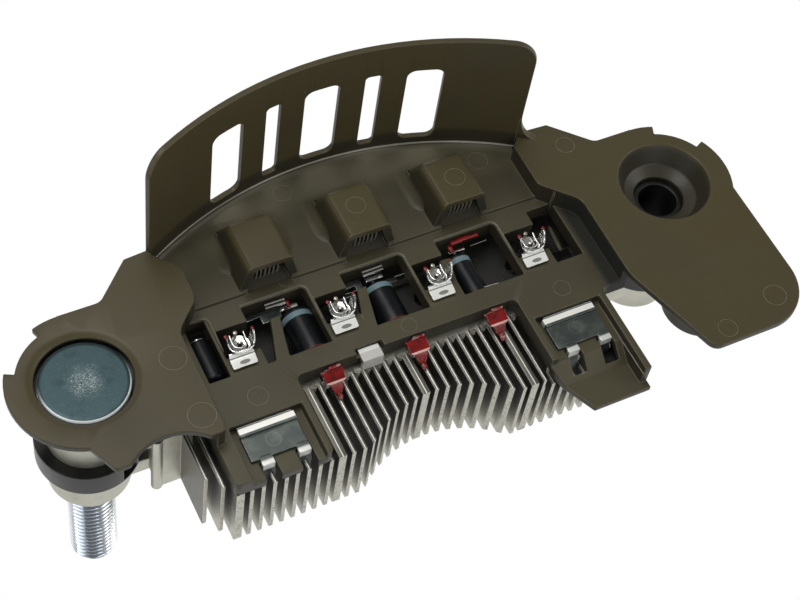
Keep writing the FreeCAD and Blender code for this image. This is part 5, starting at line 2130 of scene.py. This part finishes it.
@dataclass
class ContactPlates(SubAssembly):
    """The two contact plates on the legs with their rolled rear edges and tongues.

    Attributes:
        hems: Side, left end and right end of each rolled edge.
        hem_line: Y and height of the rolled edge's points.
        tongues: X of each side's tongues.
        tongue_line: Y, height and half width of a tongue's points.
        sheets: Thickness of a rolled edge and of a tongue.
    """

    hems: tuple[tuple[str, float, float], ...] = (("left", 18.4, 27.3), ("right", 71.3, 80.2))
    hem_line: Line = (
        (-13.9, -4.95), (-14.15, -4.45), (-14.5, -4.35), (-14.85, -4.5), (-15.1, -4.55),
        (-15.45, -4.75),
    )
    tongues: dict[str, Place] = field(
        default_factory=lambda: {"left": (20.75, 26.65), "right": (73.35, 79.25)})
    tongue_line: tuple[Point, ...] = (
        (-19.6, -4.85, 0.8), (-20.3, -4.75, 0.95), (-20.8, -5.0, 1.0), (-21.1, -5.7, 1.0),
        (-21.2, -7.5, 1.0), (-21.25, -9.8, 1.0),
    )
    sheets: Place = (0.25, 0.4)

    def build(self) -> None:
        """Make both plates with their rolled edges and tongues."""
        for side, left, right in self.hems:
            self.soften(f"{side}_contact_plate", Slot.CONTACT, 0.1)
            middle, half = (left + right) / 2, (right - left) / 2
            path = [(middle, y, z) for y, z in self.hem_line]
            widths = [(half - 0.3, half - 0.2)] + [(half, half)] * 4 + [(half - 0.1, half)]
            hem = Shape().ribbon(path, widths, self.sheets[0])
            self.add(f"{side}_plate_hem", hem, Slot.CONTACT, Rounding(0.05, 2, 40.0))
            for number, middle in enumerate(self.tongues[side]):
                path = [(middle, y, z) for y, z, _ in self.tongue_line]
                widths = [(half, half) for _, _, half in self.tongue_line]
                tongue = Shape().ribbon(path, widths, self.sheets[1])
                name = f"{side}_tongue_{number + 1}"
                self.add(name, tongue, Slot.CONTACT, Rounding(0.08, 2, 40.0))


@dataclass(frozen=True)
class Lamp:
    """A rectangular soft light, in millimetres and watts.

    Attributes:
        name: The light's name.
        place: Where it hangs.
        target: The point that it shines at.
        size: Its two sides.
        power: Its power.
        colour: Its colour.
    """

    name: str
    place: Point
    target: Point
    size: Place
    power: float
    colour: Point = (1.0, 1.0, 1.0)


@dataclass
class Studio:
    """Camera, lights, pale floor and surroundings.

    Attributes:
        azimuth: Turn of the view about the vertical in degrees; zero looks along +Y.
        elevation: Degrees that the view looks down.
        roll: Turn of the picture about its centre in degrees.
        focal: Focal length in pixels of the picture.
        target: Point that the camera's axis meets.
        distance: From the target to the camera in millimetres.
        centre: Principal point in pixels.
        picture: Width and height in pixels.
        sensor: Width of the sensor.
        floor_gap: From the part's lowest point down to the floor.
        sky: Strength of the surroundings as a light.
        overhead: Grey that metal mirrors from overhead.
        paint: Colour of the floor as it lights the part.
        white: Colour of the background.
        sky_colour: Colour of the surroundings as a light.
        lamps: The soft lights.
    """

    azimuth: float = -35.44
    elevation: float = 53.911
    roll: float = 11.276
    focal: float = 1784.052
    target: Point = (54.808, 2.114, 0.0)
    distance: float = 282.838
    centre: Place = (408.925, 255.654)
    picture: Place = (800, 600)
    sensor: float = 36.0
    floor_gap: float = 0.6
    sky: float = 0.2
    overhead: float = 0.2
    paint: tuple[float, ...] = (0.8, 0.8, 0.79, 1.0)
    white: tuple[float, ...] = (1.0, 1.0, 1.0, 1.0)
    sky_colour: tuple[float, ...] = (0.95, 0.97, 1.0, 1.0)
    lamps: tuple[Lamp, ...] = (
        Lamp("key", (-40.0, 140.0, 560.0), (50.0, 0.0, 0.0), (420.0, 260.0), 1.75,
             (1.0, 0.985, 0.955)),
        Lamp("left", (-380.0, -60.0, 260.0), (40.0, 0.0, 0.0), (240.0, 300.0), 0.5,
             (0.96, 0.98, 1.0)),
        Lamp("right", (420.0, -180.0, 240.0), (60.0, 0.0, 0.0), (260.0, 260.0), 0.55),
        Lamp("front", (120.0, -420.0, 150.0), (55.0, 0.0, -10.0), (380.0, 160.0), 0.4),
    )

    def build(self) -> None:
        """Set up everything round the part."""
        bpy.context.scene.view_settings.view_transform = "Standard"
        self.set_camera()
        self.hang_lamps()
        self.lay_floor()
        self.surround()

    def hang_lamps(self) -> None:
        """Hang the soft lights."""
        for lamp in self.lamps:
            light = bpy.data.lights.new(lamp.name, "AREA")
            light.shape = "RECTANGLE"
            light.size, light.size_y = (side * MM for side in lamp.size)
            light.energy = lamp.power
            light.color = lamp.colour
            item = linked(lamp.name, light)
            item.location = Vector(lamp.place) * MM
            way = Vector(lamp.target) - Vector(lamp.place)
            item.rotation_euler = way.to_track_quat("-Z", "Y").to_euler()

    def set_camera(self) -> None:
        """Set the camera where the photograph was taken."""
        turn, tilt, roll = (math.radians(v) for v in (self.azimuth, self.elevation, self.roll))
        flat = math.cos(tilt)
        forward = Vector((-math.sin(turn) * flat, math.cos(turn) * flat, -math.sin(tilt)))
        right = Vector((math.cos(turn), math.sin(turn), 0.0))
        up = right.cross(forward)
        across = right * math.cos(roll) + up * math.sin(roll)
        above = up * math.cos(roll) - right * math.sin(roll)
        lens = bpy.data.cameras.new("photo_camera")
        lens.sensor_width = self.sensor
        lens.lens = self.sensor * self.focal / self.picture[0]
        lens.shift_x = (self.picture[0] / 2 - self.centre[0]) / self.picture[0]
        lens.shift_y = (self.centre[1] - self.picture[1] / 2) / self.picture[0]
        lens.clip_start, lens.clip_end = 0.01, 20.0
        item = linked("photo_camera", lens)
        turned = Matrix((across, above, -forward)).transposed().to_4x4()
        turned.translation = (Vector(self.target) - forward * self.distance) * MM
        item.matrix_world = turned
        bpy.context.scene.camera = item

    def shown(self, tree: Tree) -> Link:
        """Find out whether a ray shows the background.

        Args:
            tree: The node tree.

        Returns:
            A socket that is one for such rays, and zero for those that only light.
        """
        rays = tree.nodes.new("ShaderNodeLightPath")
        socket = rays.outputs["Is Camera Ray"]
        for other in ("Is Glossy Ray", "Is Transmission Ray"):
            values = {0: socket, 1: rays.outputs[other]}
            socket = put(tree, "ShaderNodeMath", {"operation": "MAXIMUM"}, values).outputs[0]
        return socket

    def lay_floor(self) -> None:
        """Lay a pale floor that shows as plain white and lights the part with its pale paint."""
        low = START_BOX[0][2] - self.floor_gap * MM
        bpy.ops.mesh.primitive_plane_add(size=8.0, location=(0.05, 0.0, low))
        floor = bpy.context.object
        floor.name = "floor"
        material = bpy.data.materials.new("pale_floor")
        material.use_nodes = True
        tree = material.node_tree
        tree.nodes.clear()
        paint = put(tree, "ShaderNodeBsdfDiffuse", None, {"Color": self.paint})
        glow = put(tree, "ShaderNodeEmission", None, {"Color": self.white, "Strength": 1.0})
        values = {0: self.shown(tree), 1: paint.outputs[0], 2: glow.outputs[0]}
        mix = put(tree, "ShaderNodeMixShader", None, values)
        put(tree, "ShaderNodeOutputMaterial", None, {"Surface": mix.outputs[0]})
        floor.data.materials.append(material)

    def surround(self) -> None:
        """Make the surroundings: white round the horizon, grey overhead, dim as a light."""
        world = bpy.data.worlds.new("studio_surroundings")
        bpy.context.scene.world = world
        world.use_nodes = True
        tree = world.node_tree
        tree.nodes.clear()
        ground = "ShaderNodeBackground"
        dim = put(tree, ground, None, {"Color": self.sky_colour, "Strength": self.sky})
        white = put(tree, ground, None, {"Color": self.white})
        mirrored = put(tree, ground, None, {"Color": self.ceiling(tree)})
        rays = put(tree, "ShaderNodeLightPath").outputs["Is Camera Ray"]
        values = {0: rays, 1: mirrored.outputs[0], 2: white.outputs[0]}
        seen = put(tree, "ShaderNodeMixShader", None, values)
        values = {0: self.shown(tree), 1: dim.outputs[0], 2: seen.outputs[0]}
        mix = put(tree, "ShaderNodeMixShader", None, values)
        put(tree, "ShaderNodeOutputWorld", None, {"Surface": mix.outputs[0]})

    def ceiling(self, tree: Tree) -> Link:
        """Blend the colour that metal mirrors: white round the horizon, grey overhead.

        Args:
            tree: The node tree of the surroundings.

        Returns:
            The socket that gives the colour.
        """
        way = put(tree, "ShaderNodeTexCoord").outputs["Generated"]
        split = put(tree, "ShaderNodeSeparateXYZ", None, {0: way})
        values = {"From Min": 0.15, "From Max": 0.75, "To Min": 1.0, "To Max": self.overhead}
        values["Value"] = split.outputs["Z"]
        fade = put(tree, "ShaderNodeMapRange", {"interpolation_type": "SMOOTHSTEP"}, values)
        grey = fade.outputs[0]
        return put(tree, "ShaderNodeCombineXYZ", None, {"X": grey, "Y": grey, "Z": grey}).outputs[0]


def main() -> None:
    """Build the studio and the part."""
    logging.basicConfig(level=logging.INFO)
    Studio().build()
    groups = (TerminalBoard(), HeatSinks(), OutputStud(), BoltBush(), Terminals(), FieldDiodes(),
              ContactPlates())
    for group in groups:
        group.build()


if __name__ == "__main__":
    main()
